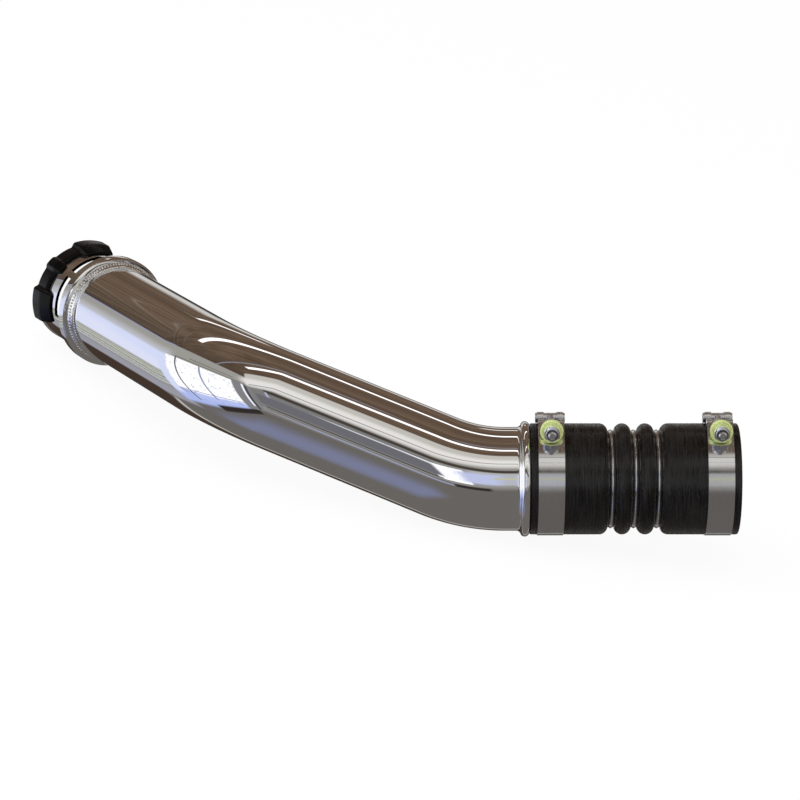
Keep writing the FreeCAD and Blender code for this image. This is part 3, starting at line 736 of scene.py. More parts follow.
@dataclass
class Weld(Assembly):
    """Fillet weld between the pipe and the flange, a row of overlapping ripples on its face.

    Leg is how far it reaches along the pipe from the weld line, and rise its height on the flange.
    """

    pipe_radius: float = 38.1
    leg: float = 2.6
    flange_face: float = 2.0
    rise: float = 2.9
    sink: float = 0.3                            # how far the fillet's foot lies under the pipe's outside
    toe: tuple[float, float] = (0.6, 0.5)        # the foot's corner, along and above the pipe
    shoulder: float = 0.4                        # break of the corner on the flange
    edge: float = 0.3
    segments: int = 180
    ripples: int = 104
    ripple_size: tuple[float, float, float] = (1.35, 1.15, 1.5)
    ripple_rise: float = 1.0
    ripple_shift: float = 0.55
    ripple_lean: float = 45.0
    ripple_wobble: tuple[float, float, float] = (0.5, 0.4, 0.5)
    ball_segments: int = 14
    ball_rings: int = 10
    seed: int = 7

    def tree(self, base: bpy.types.Material) -> bpy.types.NodeTree:
        """Geometry nodes that lay ripples around the pipe's axis, over the weld's own fillet.

        Args:
            base: material of the weld.

        Returns:
            The node tree, its inputs set.
        """
        tree = bpy.data.node_groups.new("weld_ripples", "GeometryNodeTree")
        nodes = Nodes(tree)
        face = tree.interface
        face.new_socket("Geometry", in_out="INPUT", socket_type="NodeSocketGeometry")
        for name, kind, value in (("Ring Radius", "NodeSocketFloat", self.pipe_radius + self.ripple_rise),
                                  ("Ripples", "NodeSocketInt", self.ripples),
                                  ("Ripple Size", "NodeSocketVector", self.ripple_size),
                                  ("Lean", "NodeSocketFloat", math.radians(self.ripple_lean)),
                                  ("Seed", "NodeSocketInt", self.seed)):
            face.new_socket(name, in_out="INPUT", socket_type=kind).default_value = value
        face.new_socket("Finish", in_out="INPUT", socket_type="NodeSocketMaterial").default_value = base
        face.new_socket("Geometry", in_out="OUTPUT", socket_type="NodeSocketGeometry")
        given = nodes.add("NodeGroupInput").outputs
        circle = nodes.add("GeometryNodeMeshCircle", {"Vertices": given["Ripples"], "Radius": given["Ring Radius"]})
        index = nodes.add("GeometryNodeInputIndex").outputs[0]
        step = nodes.maths("DIVIDE", 2 * math.pi, given["Ripples"])
        around = nodes.maths("MULTIPLY", index, step)
        wobble = nodes.add("FunctionNodeRandomValue", {
            "ID": index, "Seed": given["Seed"], "Min": tuple(-part for part in self.ripple_wobble),
            "Max": self.ripple_wobble}, data_type="FLOAT_VECTOR")
        lean = nodes.add("ShaderNodeCombineXYZ", {"Y": given["Lean"]}).outputs[0]
        leaned = nodes.add("ShaderNodeVectorMath", {0: lean, 1: wobble.outputs[0]}, operation="ADD").outputs[0]
        spun = nodes.add("ShaderNodeCombineXYZ", {"Z": around}).outputs[0]
        first = nodes.add("FunctionNodeEulerToRotation", {0: leaned}).outputs[0]
        second = nodes.add("FunctionNodeEulerToRotation", {0: spun}).outputs[0]
        turn = nodes.add("FunctionNodeRotateRotation", {0: first, 1: second}, rotation_space="GLOBAL").outputs[0]
        ball = nodes.add("GeometryNodeMeshUVSphere", {
            "Segments": self.ball_segments, "Rings": self.ball_rings, "Radius": 1.0})
        laid = nodes.add("GeometryNodeInstanceOnPoints", {
            "Points": circle.outputs[0], "Instance": ball.outputs[0], "Rotation": turn, "Scale": given["Ripple Size"]})
        real = nodes.add("GeometryNodeRealizeInstances", {"Geometry": laid.outputs[0]})
        smooth = nodes.add("GeometryNodeSetShadeSmooth", {"Geometry": real.outputs[0]})
        level = nodes.add("GeometryNodeTransform", {
            "Geometry": smooth.outputs[0], "Rotation": (0.0, math.radians(90), 0.0),
            "Translation": (self.ripple_shift, 0.0, 0.0)})
        both = nodes.add("GeometryNodeJoinGeometry")
        tree.links.new(given["Geometry"], both.inputs[0])
        tree.links.new(level.outputs[0], both.inputs[0])
        coloured = nodes.add("GeometryNodeSetMaterial", {"Geometry": both.outputs[0], "Material": given["Finish"]})
        nodes.add("NodeGroupOutput", {0: coloured.outputs[0]})
        return tree

    def make(self, route: Route) -> None:
        """Build the fillet, lay the ripples on it and bake both into one mesh.

        Args:
            route: centreline of the pipe.
        """
        top = self.pipe_radius + self.rise
        fillet = rounded([
            (self.flange_face, self.pipe_radius - self.sink), (-self.leg, self.pipe_radius - self.sink),
            (-self.leg + self.toe[0], self.pipe_radius + self.toe[1]),
            (self.flange_face - self.shoulder, top - self.sink), (self.flange_face, top - self.shoulder),
        ], self.edge)
        base = Form.turned(fillet, self.segments).mesh("weld_base", np.eye(4))
        mesh = bake(base, self.tree(WELDED.material(self.place)), "rippled_weld")
        mesh.transform(Matrix((self.place @ route.connector).tolist()))
        self.add("rippled_weld", mesh, WELDED, "pipe_weld")


def bake(base: bpy.types.Mesh, tree: bpy.types.NodeTree, name: str) -> bpy.types.Mesh:
    """Run a node tree on a mesh and keep the result as a plain mesh.

    Args:
        base: mesh that the tree starts from.
        tree: geometry nodes.
        name: name of the new mesh.

    Returns:
        The plain mesh, with no modifier behind it.
    """
    holder = bpy.data.objects.new(name + "_holder", base)
    bpy.context.scene.collection.objects.link(holder)
    modifier = holder.modifiers.new("nodes", "NODES")
    modifier.node_group = tree
    for item in tree.interface.items_tree:
        if item.item_type == "SOCKET" and item.in_out == "INPUT" and item.socket_type != "NodeSocketGeometry":
            modifier[item.identifier] = item.default_value
    graph = bpy.context.evaluated_depsgraph_get()
    mesh = bpy.data.meshes.new_from_object(holder.evaluated_get(graph))
    mesh.name = name
    holder.modifiers.remove(modifier)
    bpy.data.objects.remove(holder)
    return mesh


@dataclass
class LockClip(Assembly):
    """Moulded C-shaped clip: a band whose radius and foot swell into two end grips and a middle rib.

    Seat, over and band are radii: in the groove, over the sleeve and of the band's top. The foot is
    the part that reaches over the sleeve in front of the groove, and the toe is its thickness.
    """

    turn: float = 114.8
    sweep: float = 134.0
    seat: float = 38.42
    over: float = 39.5
    band: float = 41.8
    start: float = 43.3
    end: float = 59.7
    groove: float = 43.2
    grip_rise: float = 3.2
    grip_angle: float = 36.0
    grip_foot: float = 8.0
    grip_toe: float = 1.2
    rib_rise: float = 1.8
    rib_angle: float = 13.0
    rib_foot: float = 4.2
    blend_angle: float = 5.0
    foot: float = 0.35
    toe: float = 0.4
    tip_reach: float = 2.0
    tip_drop: float = 1.2
    brow: tuple[float, float] = (1.6, 0.25)      # along from the band's start, and down from its top
    top_start: float = 3.4
    heel: tuple[float, float] = (2.0, 1.0)       # the same at the band's end
    edge: float = 0.55
    edge_steps: int = 4
    edge_turn: float = 4.0
    steps: int = 201
    crease: float = 60.0

    def swell(self, angle: float) -> tuple[float, float]:
        """How far the clip swells at an angle from its middle.

        Args:
            angle: angle in degrees.

        Returns:
            Share of the grips and share of the rib.
        """
        def bump(distance: float, half: float) -> float:
            """Soft plateau.

            Args:
                distance: angle from the plateau's middle.
                half: half the plateau's width.

            Returns:
                1 inside the half width and 0 past it.
            """
            share = min(1.0, max(0.0, (half + self.blend_angle / 2 - distance) / self.blend_angle))
            return share * share * (3 - 2 * share)

        grip = bump(abs(abs(angle) - (self.sweep - self.grip_angle) / 2), self.grip_angle / 2)
        return grip, bump(abs(angle), self.rib_angle / 2)

    def section(self, angle: float) -> Outline:
        """Section of the clip.

        Args:
            angle: angle in degrees from the clip's middle.

        Returns:
            The closed outline, with equally many points at every angle.
        """
        grip, rib = self.swell(angle)
        rise = self.grip_rise * grip + self.rib_rise * rib
        foot = self.grip_foot * grip + self.rib_foot * rib + self.foot
        toe = self.over + self.toe + (self.grip_toe - self.toe) * max(grip, rib)
        tip = max(0.0, abs(angle) - (self.sweep / 2 - self.tip_reach)) / self.tip_reach
        rise -= self.tip_drop * tip * tip
        top = self.band + rise
        near = self.groove - foot
        corners = [
            (self.start, self.seat), (self.start, self.over), (near, self.over), (near, toe),
            (self.start + self.brow[0], top - self.brow[1]), (self.start + self.top_start, top),
            (self.end - self.heel[0], top), (self.end, top - self.heel[1]), (self.end, self.seat),
        ]
        return rounded(corners, self.edge, self.edge_steps, self.edge_turn)

    def make(self, route: Route) -> None:
        """Skin the clip over its sections.

        Args:
            route: centreline of the pipe.
        """
        angles = np.linspace(-self.sweep / 2, self.sweep / 2, self.steps)
        rings = [lathe(self.section(angle), [self.turn + angle])[0] for angle in angles]
        form = Form.skin(np.array(rings), False)
        mesh = form.mesh("moulded_clip", self.place @ route.connector, self.crease)
        self.add("moulded_clip", mesh, CLIP_PLASTIC, "lock_clip")


@dataclass
class Hose(Assembly):
    """Bellows hose with wrap lines, and the steel rings between its folds.

    Pitch is the distance between two floors, and fold_arc the radius of a fold. The bridges of the
    clamps press seats into the hose, seat_width long and seat_angle degrees wide.
    """

    length: float = 152.4
    radius: float = 40.8
    wall: float = 2.7
    chamfer: float = 0.9
    pitch: float = 16.85
    fold_arc: float = 6.2
    ring_rise: float = 1.8
    ring_flank: float = 0.6
    ring_gap: float = 0.1
    wrap_pitch: float = 1.7
    wrap_depth: float = 0.14
    seat_depth: float = 0.6
    seat_angle: float = 44.0
    seat_width: float = 17.2
    seat_wall: float = 0.5
    clamp_inset: float = 14.9
    clamp_turn: float = 46.7
    lip: tuple[float, float] = (0.35, 0.3)       # rounded end: share of the chamfer, and how far in
    fold_steps: int = 14
    cove_steps: int = 8
    floor_steps: int = 6
    wrap_seed: int = 11
    wrap_points: int = 3                         # points of the line for each wrap
    wrap_shares: tuple[float, float] = (0.25, 1.0)
    plain_end: float = 1.2                       # end without wrap lines, in chamfers
    ring_edge: float = 0.35
    ring_edge_steps: int = 4
    ring_segments: int = 192
    segments: int = 144
    crease: float = 60.0

    @property
    def floor(self) -> float:
        """Radius of the floor between two folds."""
        return self.radius - self.fold_arc

    @property
    def valleys(self) -> list[float]:
        """Places of the floors along the hose."""
        return [self.length / 2 + count * self.pitch for count in (-1, 0, 1)]

    def outside(self) -> Outline:
        """Outer line of the hose: ends, folds and floors.

        Returns:
            The line from the free end to the pipe's end.
        """
        half = self.pitch / 2 - self.fold_arc
        lip, lip_radius = self.chamfer * self.lip[0], self.radius - self.lip[1]
        line: Outline = [(0.0, self.radius - self.chamfer), (lip, lip_radius), (self.chamfer, self.radius)]
        for valley in self.valleys:
            line += arc((valley - half - self.fold_arc, self.floor), self.fold_arc, 90, 0, self.fold_steps)
            line += arc((valley + half + self.fold_arc, self.floor), self.fold_arc, 180, 90, self.fold_steps)
        line += [(self.length - self.chamfer, self.radius), (self.length - lip, lip_radius),
                 (self.length, self.radius - self.chamfer)]
        return line

    def inside(self) -> Outline:
        """Inner line of the hose.

        Returns:
            The line from the pipe's end to the free end.
        """
        bore = self.radius - self.wall
        half = self.pitch / 2 - self.fold_arc
        inner = self.fold_arc - self.wall
        line: Outline = [(self.length, bore + self.chamfer), (self.length - self.chamfer, bore)]
        for valley in reversed(self.valleys):
            line += arc((valley + half + self.fold_arc, self.floor), inner, 90, 180, self.cove_steps)
            line += arc((valley + half, self.floor), self.wall, 0, -90, self.floor_steps)
            line += arc((valley - half, self.floor), self.wall, -90, -180, self.floor_steps)
            line += arc((valley - half - self.fold_arc, self.floor), inner, 0, 90, self.cove_steps)
        return line + [(self.chamfer, bore), (0.0, bore + self.chamfer)]

    def wrapped(self, line: Outline) -> Outline:
        """Outer line with the fine ridges that the wrapping leaves.

        Args:
            line: the smooth outer line.

        Returns:
            The line in even short steps, its ends as they were.
        """
        rng = np.random.default_rng(self.wrap_seed)
        points = np.array(line)
        travel = np.concatenate([[0], np.cumsum(np.linalg.norm(np.diff(points, axis=0), axis=1))])
        at = np.arange(0, travel[-1], self.wrap_pitch / self.wrap_points)
        x, r = np.interp(at, travel, points[:, 0]), np.interp(at, travel, points[:, 1])
        depth = self.wrap_depth * rng.uniform(*self.wrap_shares, len(at)) * (np.arange(len(at)) % self.wrap_points == 1)
        end = self.chamfer * self.plain_end
        r = r - np.where((x < end) | (x > self.length - end), 0.0, depth)
        return [line[0], *zip(x[1:].tolist(), r[1:].tolist()), line[-1]]

    def pressed(self, form: Form) -> Form:
        """Press the seats of the two clamp bridges into the hose.

        Args:
            form: the hose as it was turned.

        Returns:
            The same form with its points moved.
        """
        x, y, z = form.points.T
        radius, angle = np.hypot(y, z), np.degrees(np.arctan2(z, y))
        off = (angle - (90.0 - self.clamp_turn) + 180) % 360 - 180
        for inset in (self.clamp_inset, self.length - self.clamp_inset):
            seat = (np.abs(x - inset) < self.seat_width / 2) & (np.abs(off) < self.seat_angle / 2)
            seat &= radius > self.radius - self.seat_wall
            share = np.where(seat, (self.radius - self.seat_depth) / radius, 1.0)
            y, z = y * share, z * share
        form.points = np.column_stack([x, y, z])
        return form

    def make(self) -> None:
        """Build the hose with its bridge seats, and the rings."""
        hose = self.pressed(Form.turned(self.wrapped(self.outside()) + self.inside(), self.segments))
        self.add("wrapped_hose", hose.mesh("wrapped_hose", self.place, self.crease), HOSE_RUBBER, "hose_coupler")
        half = self.pitch / 2 - self.fold_arc - self.ring_gap
        for number, valley in enumerate(self.valleys, start=1):
            section = rounded([
                (valley - half, self.floor), (valley - half, self.floor + self.ring_flank),
                (valley, self.floor + self.ring_rise), (valley + half, self.floor + self.ring_flank),
                (valley + half, self.floor)], self.ring_edge, self.ring_edge_steps)
            mesh = Form.turned(section, self.ring_segments).mesh("fold_ring_%d" % number, self.place)
            self.add("fold_ring_%d" % number, mesh, RING_STEEL, "hose_ring_%d" % number)


@dataclass
class Clamp(Assembly):
    """Collar, lock nut and nylon insert of a T-bolt clamp, on the bolt's line over the strap's gap.

    Strap is the outside radius of one layer, and loop_reach the distance from the clamp's middle to
    the barrel. Barrel, bolt, collar, collar_hub, crown and insert are radii, flats is the width
    across the hexagon, and hexagon and the widths run along the bolt.
    """

    inset: float = 14.9
    turn: float = 46.7
    strap: float = 41.5
    strap_wall: float = 0.7
    loop_reach: float = 8.6
    barrel: float = 3.6
    bolt: float = 3.0
    gap: float = 0.1
    collar: float = 8.4
    collar_width: float = 4.0
    collar_hub: float = 4.0
    collar_gap: float = 0.15
    chamfer: float = 0.7
    flats: float = 11.1
    hexagon: float = 5.2
    crown: float = 4.8
    crown_width: float = 2.4
    nut_chamfer: float = 0.6
    insert: float = 4.1
    insert_width: float = 1.8
    bore_gap: float = 0.02
    cone_steps: int = 4
    crown_edge: float = 0.5
    crown_edge_end: float = 20.0
    crown_edge_steps: int = 5
    crown_lip: tuple[float, float] = (0.2, 0.1)  # break of the crown's inner edge, along and across
    corner_break: float = 0.1
    nut_step: float = 5.0
    nut_crease: float = 22.0
    collar_edge_steps: int = 5
    collar_segments: int = 96
    insert_edge: float = 0.3
    insert_segments: int = 64

    @property
    def bore(self) -> float:
        """Radius of the hole in the nut and its insert."""
        return self.bolt + self.bore_gap

    @property
    def height(self) -> float:
        """Distance of the bolt's line from the hose's axis."""
        return math.sqrt((self.strap + self.barrel) ** 2 - self.loop_reach ** 2)

    @property
    def face(self) -> float:
        """Place of the collar's inner face along the bolt."""
        reach = self.strap + self.strap_wall + self.collar_gap
        return math.sqrt(reach ** 2 - (self.height - self.collar) ** 2)

    def nut(self, start: float) -> Form:
        """Lock nut: a hexagon with coned faces, its corners just broken, and a round crown.

        Args:
            start: place of the nut's inner face along the bolt.

        Returns:
            The nut as one closed form, with the insert's seat in its crown.
        """
        corner, apothem = self.flats / math.sqrt(3), self.flats / 2
        end, front = start + self.hexagon, start + self.hexagon + self.crown_width
        parts = self.cone_steps
        cone = [(start + self.nut_chamfer * k / parts, apothem + (corner - apothem) * k / parts)
                for k in range(parts + 1)]
        away = [(end - (x - start), radius) for x, radius in reversed(cone)]
        seat = front - self.nut_chamfer / 2 - self.insert_width
        edge, lip = self.crown_edge, self.crown_lip
        crown = [*arc((front - edge, self.crown - edge), edge, 90, self.crown_edge_end, self.crown_edge_steps),
                 (front, self.insert + lip[1]), (front - lip[0], self.insert)]
        line = [(start, self.bore), *cone, *away, (end, self.crown), *crown, (seat, self.insert), (seat, self.bore)]
        rings = []
        for angle in np.arange(0, 360, self.nut_step):
            off = (angle % 60) - 30
            flat = min(apothem / math.cos(math.radians(off)), corner - self.corner_break)
            section = [(x, min(radius, flat)) for x, radius in line]
            rings.append(lathe(section, [angle + 30])[0])
        return Form.skin(np.array(rings), True)

    def make(self, name: str, x: float) -> None:
        """Build the pieces of a clamp.

        Args:
            name: name of the clamp, which its pieces begin with.
            x: place of the strap's middle on the hose.
        """
        place = self.place @ shifted(x=x) @ rotated("X", -self.turn) @ rotated("Z", 90) @ shifted(z=self.height)
        back, front = self.loop_reach + self.barrel, self.face + self.collar_width
        ring = rounded([
            (back, self.bolt + self.gap), (back, self.collar_hub), (self.face, self.collar_hub),
            (self.face, self.collar), (front, self.collar), (front, self.bolt + self.gap),
        ], self.chamfer, self.collar_edge_steps)
        mesh = Form.turned(ring, self.collar_segments).mesh(name + "_plated_collar", place)
        self.add(name + "_plated_collar", mesh, COLLAR_ZINC, name + "_collar")
        mesh = self.nut(front).mesh(name + "_lock_nut", place, self.nut_crease)
        self.add(name + "_lock_nut", mesh, NUT_ZINC, name + "_nut")
        rim = front + self.hexagon + self.crown_width - self.nut_chamfer / 2
        seat = rim - self.insert_width
        ring = rounded([(seat, self.bore), (seat, self.insert), (rim, self.insert), (rim, self.bore)], self.insert_edge)
        mesh = Form.turned(ring, self.insert_segments).mesh(name + "_nylon_ring", place)
        self.add(name + "_nylon_ring", mesh, NYLON, name + "_insert")


# Studio

class Wall(Enum):
    """Where a patch of the room lies."""

    LEFT = "left"
    CEILING = "ceiling"
    FRONT = "front"
    ROUND = "round"


class Weave(Enum):
    """What breaks up a patch: nothing, boards, specks of daylight or fine stripes."""

    NONE = "none"
    BOARDS = "boards"
    SPECKS = "specks"
    STRIPES = "stripes"


@dataclass(frozen=True)
class Patch:
    """A soft-edged area of the room around the part, seen only in reflections.

    Across and rise are places on its wall, in wall distances from the point straight ahead. On the
    ceiling rise runs towards the viewer. On ROUND they are degrees: the lean to the viewer's right,
    and the turn from the viewer's side over the top to the back. Slope tilts the patch, and soft is
    half the width of its soft edges.
    """

    name: str
    wall: Wall
    shade: Colour
    across: tuple[float, float]
    rise: tuple[float, float]
    slope: float = 0.0
    soft: float = 0.02
    bright: float = 1.0
    weave: Weave = Weave.NONE


FAR = 9.0
ROOM = (
    Patch("floor", Wall.ROUND, (106, 102, 98), (-99, 99), (-190, -22), 0, 6),
    Patch("floor glow", Wall.LEFT, (122, 126, 152), (-0.6, 0.62), (-1.5, -0.86), 0.1, 0.26),
    Patch("back of floor", Wall.ROUND, (66, 54, 46), (-37, -6), (-174, -151), 0, 3),
    Patch("back strip", Wall.ROUND, (205, 202, 198), (-40, 30), (-150, -147), 0, 2),
    Patch("ceiling", Wall.CEILING, (98, 80, 66), (-1.27, FAR), (-3.2, 0.86), 0, 0.03, 1, Weave.BOARDS),
    Patch("ceiling back", Wall.ROUND, (206, 204, 200), (-22, 14), (150, 190), 0.2, 4),
    Patch("strip near", Wall.CEILING, (255, 252, 250), (-0.62, 0.2), (0.395, 0.465), 0, 0.012, 1.5),
    Patch("rail", Wall.CEILING, (138, 138, 150), (-1.35, 0.0), (0.295, 0.325), 0.065, 0.012),
    Patch("strip middle", Wall.CEILING, (255, 252, 250), (-0.56, 0.5), (-0.35, -0.275), 0, 0.012, 1.5),
    Patch("strip far", Wall.CEILING, (250, 248, 246), (0.12, 0.5), (-1.06, -0.97), 0, 0.02, 1.3),
    Patch("left wall", Wall.LEFT, (158, 156, 150), (-1.6, 0.72), (0.37, 0.76), 0, 0.03),
    Patch("left wall low", Wall.LEFT, (192, 193, 200), (-1.6, -0.6), (0.26, 0.52), 0, 0.14),
    Patch("wall line", Wall.LEFT, (150, 158, 196), (-1.8, -0.6), (0.77, 0.80), 0, 0.012),
    Patch("far wall", Wall.LEFT, (224, 229, 251), (-FAR, -0.70), (-0.12, 0.33), 0, 0.06),
    Patch("far stripes", Wall.LEFT, (180, 180, 160), (-FAR, -0.95), (-0.46, -0.10), 0.0, 0.03, 1, Weave.STRIPES),
    Patch("far sill", Wall.LEFT, (156, 156, 166), (-FAR, -0.86), (-0.86, -0.46), 0.0, 0.08),
    Patch("frame head", Wall.LEFT, (112, 108, 100), (-0.47, 0.66), (0.415, 0.44), 0, 0.012),
    Patch("frame top", Wall.LEFT, (112, 108, 100), (-0.22, 0.45), (0.50, 0.525), 0, 0.012),
    Patch("lavender sill", Wall.LEFT, (176, 190, 240), (-0.98, 0.42), (-0.60, -0.30), 0.12, 0.06, 1, Weave.SPECKS),
    Patch("window", Wall.LEFT, (255, 255, 255), (-0.72, 0.41), (-0.37, 0.38), 0.0, 0.012, 1.1, Weave.SPECKS),
    Patch("window foot", Wall.LEFT, (186, 198, 246), (-0.46, 0.41), (-0.46, -0.34), 0.1, 0.03, 1, Weave.SPECKS),
    Patch("left post", Wall.LEFT, (216, 223, 250), (-0.98, -0.71), (-0.5, 0.37), 0.0, 0.05),
    Patch("mullion", Wall.LEFT, (92, 92, 98), (-0.487, -0.455), (-0.56, 0.43), 0, 0.006),
    Patch("thin mullion", Wall.LEFT, (140, 146, 178), (-0.065, -0.038), (-0.40, 0.38), 0, 0.006),
    Patch("rail low", Wall.LEFT, (140, 150, 190), (-0.72, 0.41), (-0.315, -0.298), 0.08, 0.005),
    Patch("bench", Wall.LEFT, (50, 45, 41), (-0.21, 0.58), (-0.675, -0.52), 0.2, 0.03),
    Patch("right post", Wall.LEFT, (132, 131, 134), (0.42, 0.72), (-0.42, 0.42), 0, 0.015),
    Patch("post light", Wall.LEFT, (240, 244, 255), (0.555, 0.59), (-0.30, 0.38), 0, 0.006, 1.1),
    Patch("post edge", Wall.LEFT, (76, 72, 70), (0.60, 0.645), (-0.40, 0.50), 0, 0.01),
    Patch("front wall", Wall.FRONT, (126, 125, 124), (-1.42, -0.76), (-0.34, 0.52), 0, 0.03),
    Patch("front right", Wall.FRONT, (180, 180, 178), (-0.5, FAR), (-0.25, 0.26), 0, 0.04),
    Patch("cornice", Wall.FRONT, (196, 193, 186), (-1.5, FAR), (0.42, 1.3), -0.15, 0.05),
    Patch("cornice light", Wall.ROUND, (232, 230, 226), (-37, 70), (28, 42), 0.12, 4),
    Patch("cornice line", Wall.ROUND, (120, 116, 112), (-34, 60), (33, 34.2), 0.2, 0.6),
    Patch("shelf shadow", Wall.ROUND, (70, 63, 56), (-26, 60), (13, 19), -0.15, 1.2),
    Patch("plaque", Wall.FRONT, (176, 182, 204), (-1.0, -0.94), (0.15, 0.42), 0, 0.02),
    Patch("small window", Wall.FRONT, (250, 252, 255), (-0.885, -0.54), (-0.34, 0.215), 0, 0.012, 1.2, Weave.SPECKS),
    Patch("front chair", Wall.FRONT, (108, 108, 114), (-1.3, -0.80), (-0.40, 0.02), -0.2, 0.04),
    Patch("front glow", Wall.FRONT, (192, 199, 232), (-0.60, -0.30), (-0.26, 0.16), 0, 0.07),
    Patch("front line", Wall.FRONT, (196, 198, 160), (-0.36, 0.3), (-0.02, 0.04), 0, 0.01),
    Patch("low ledge", Wall.FRONT, (66, 60, 56), (-1.22, -0.84), (-0.47, -0.42), -0.15, 0.015),
    Patch("second ledge", Wall.FRONT, (78, 74, 74), (-1.3, -0.8), (-0.58, -0.55), -0.14, 0.01),
    Patch("low glint", Wall.FRONT, (160, 168, 204), (-1.34, -0.8), (-0.70, -0.64), -0.13, 0.015),
    Patch("low shadow", Wall.FRONT, (50, 46, 44), (-0.78, -0.4), (-0.53, -0.39), 0.1, 0.025),
)
BEHIND = linear(62, 56, 50)
BETWEEN = linear(150, 148, 144)
WHITE = (1.0, 1.0, 1.0)

# Weaves: noise as scale, detail and roughness, and the spans over which a soft step turns one shade to the next.
SPECK_NOISE, SPECK_SPAN = (22.0, 4.0, 0.75), (0.575, 0.64)
SPECK_SHADE = tuple(c * 0.62 for c in linear(178, 196, 250))
STRIPE_NOISE = (60.0, 3.0)
STRIPE_DARK_SPAN, STRIPE_DARK = (0.40, 0.47), linear(84, 80, 74)
STRIPE_PALE_SPAN, STRIPE_PALE = (0.54, 0.62), linear(220, 228, 248)
BOARD_SLANT = 0.8
BOARD_GRAIN, BOARD_CLOUDS, BOARD_SHARES = (16.0, 5.0, 0.7), (5.0, 3.0), (0.65, 0.35)
BOARD_SPAN, BOARD_SHADES = (0.32, 0.68), (linear(76, 60, 48), linear(118, 100, 84))
JOINT_NOISE, JOINT_SPAN, JOINT_SHADE = (70.0, 1.0), (0.64, 0.69), linear(138, 128, 120)
JOINT_ACROSS, JOINT_RISE = (-0.1, -0.5), (-0.45, -0.65)     # where the boards' joints show
SHADOW_ACROSS, SHADOW_SHARES, SHADOW = (-1.25, -0.4), (0.5, 0.0), linear(58, 48, 40)


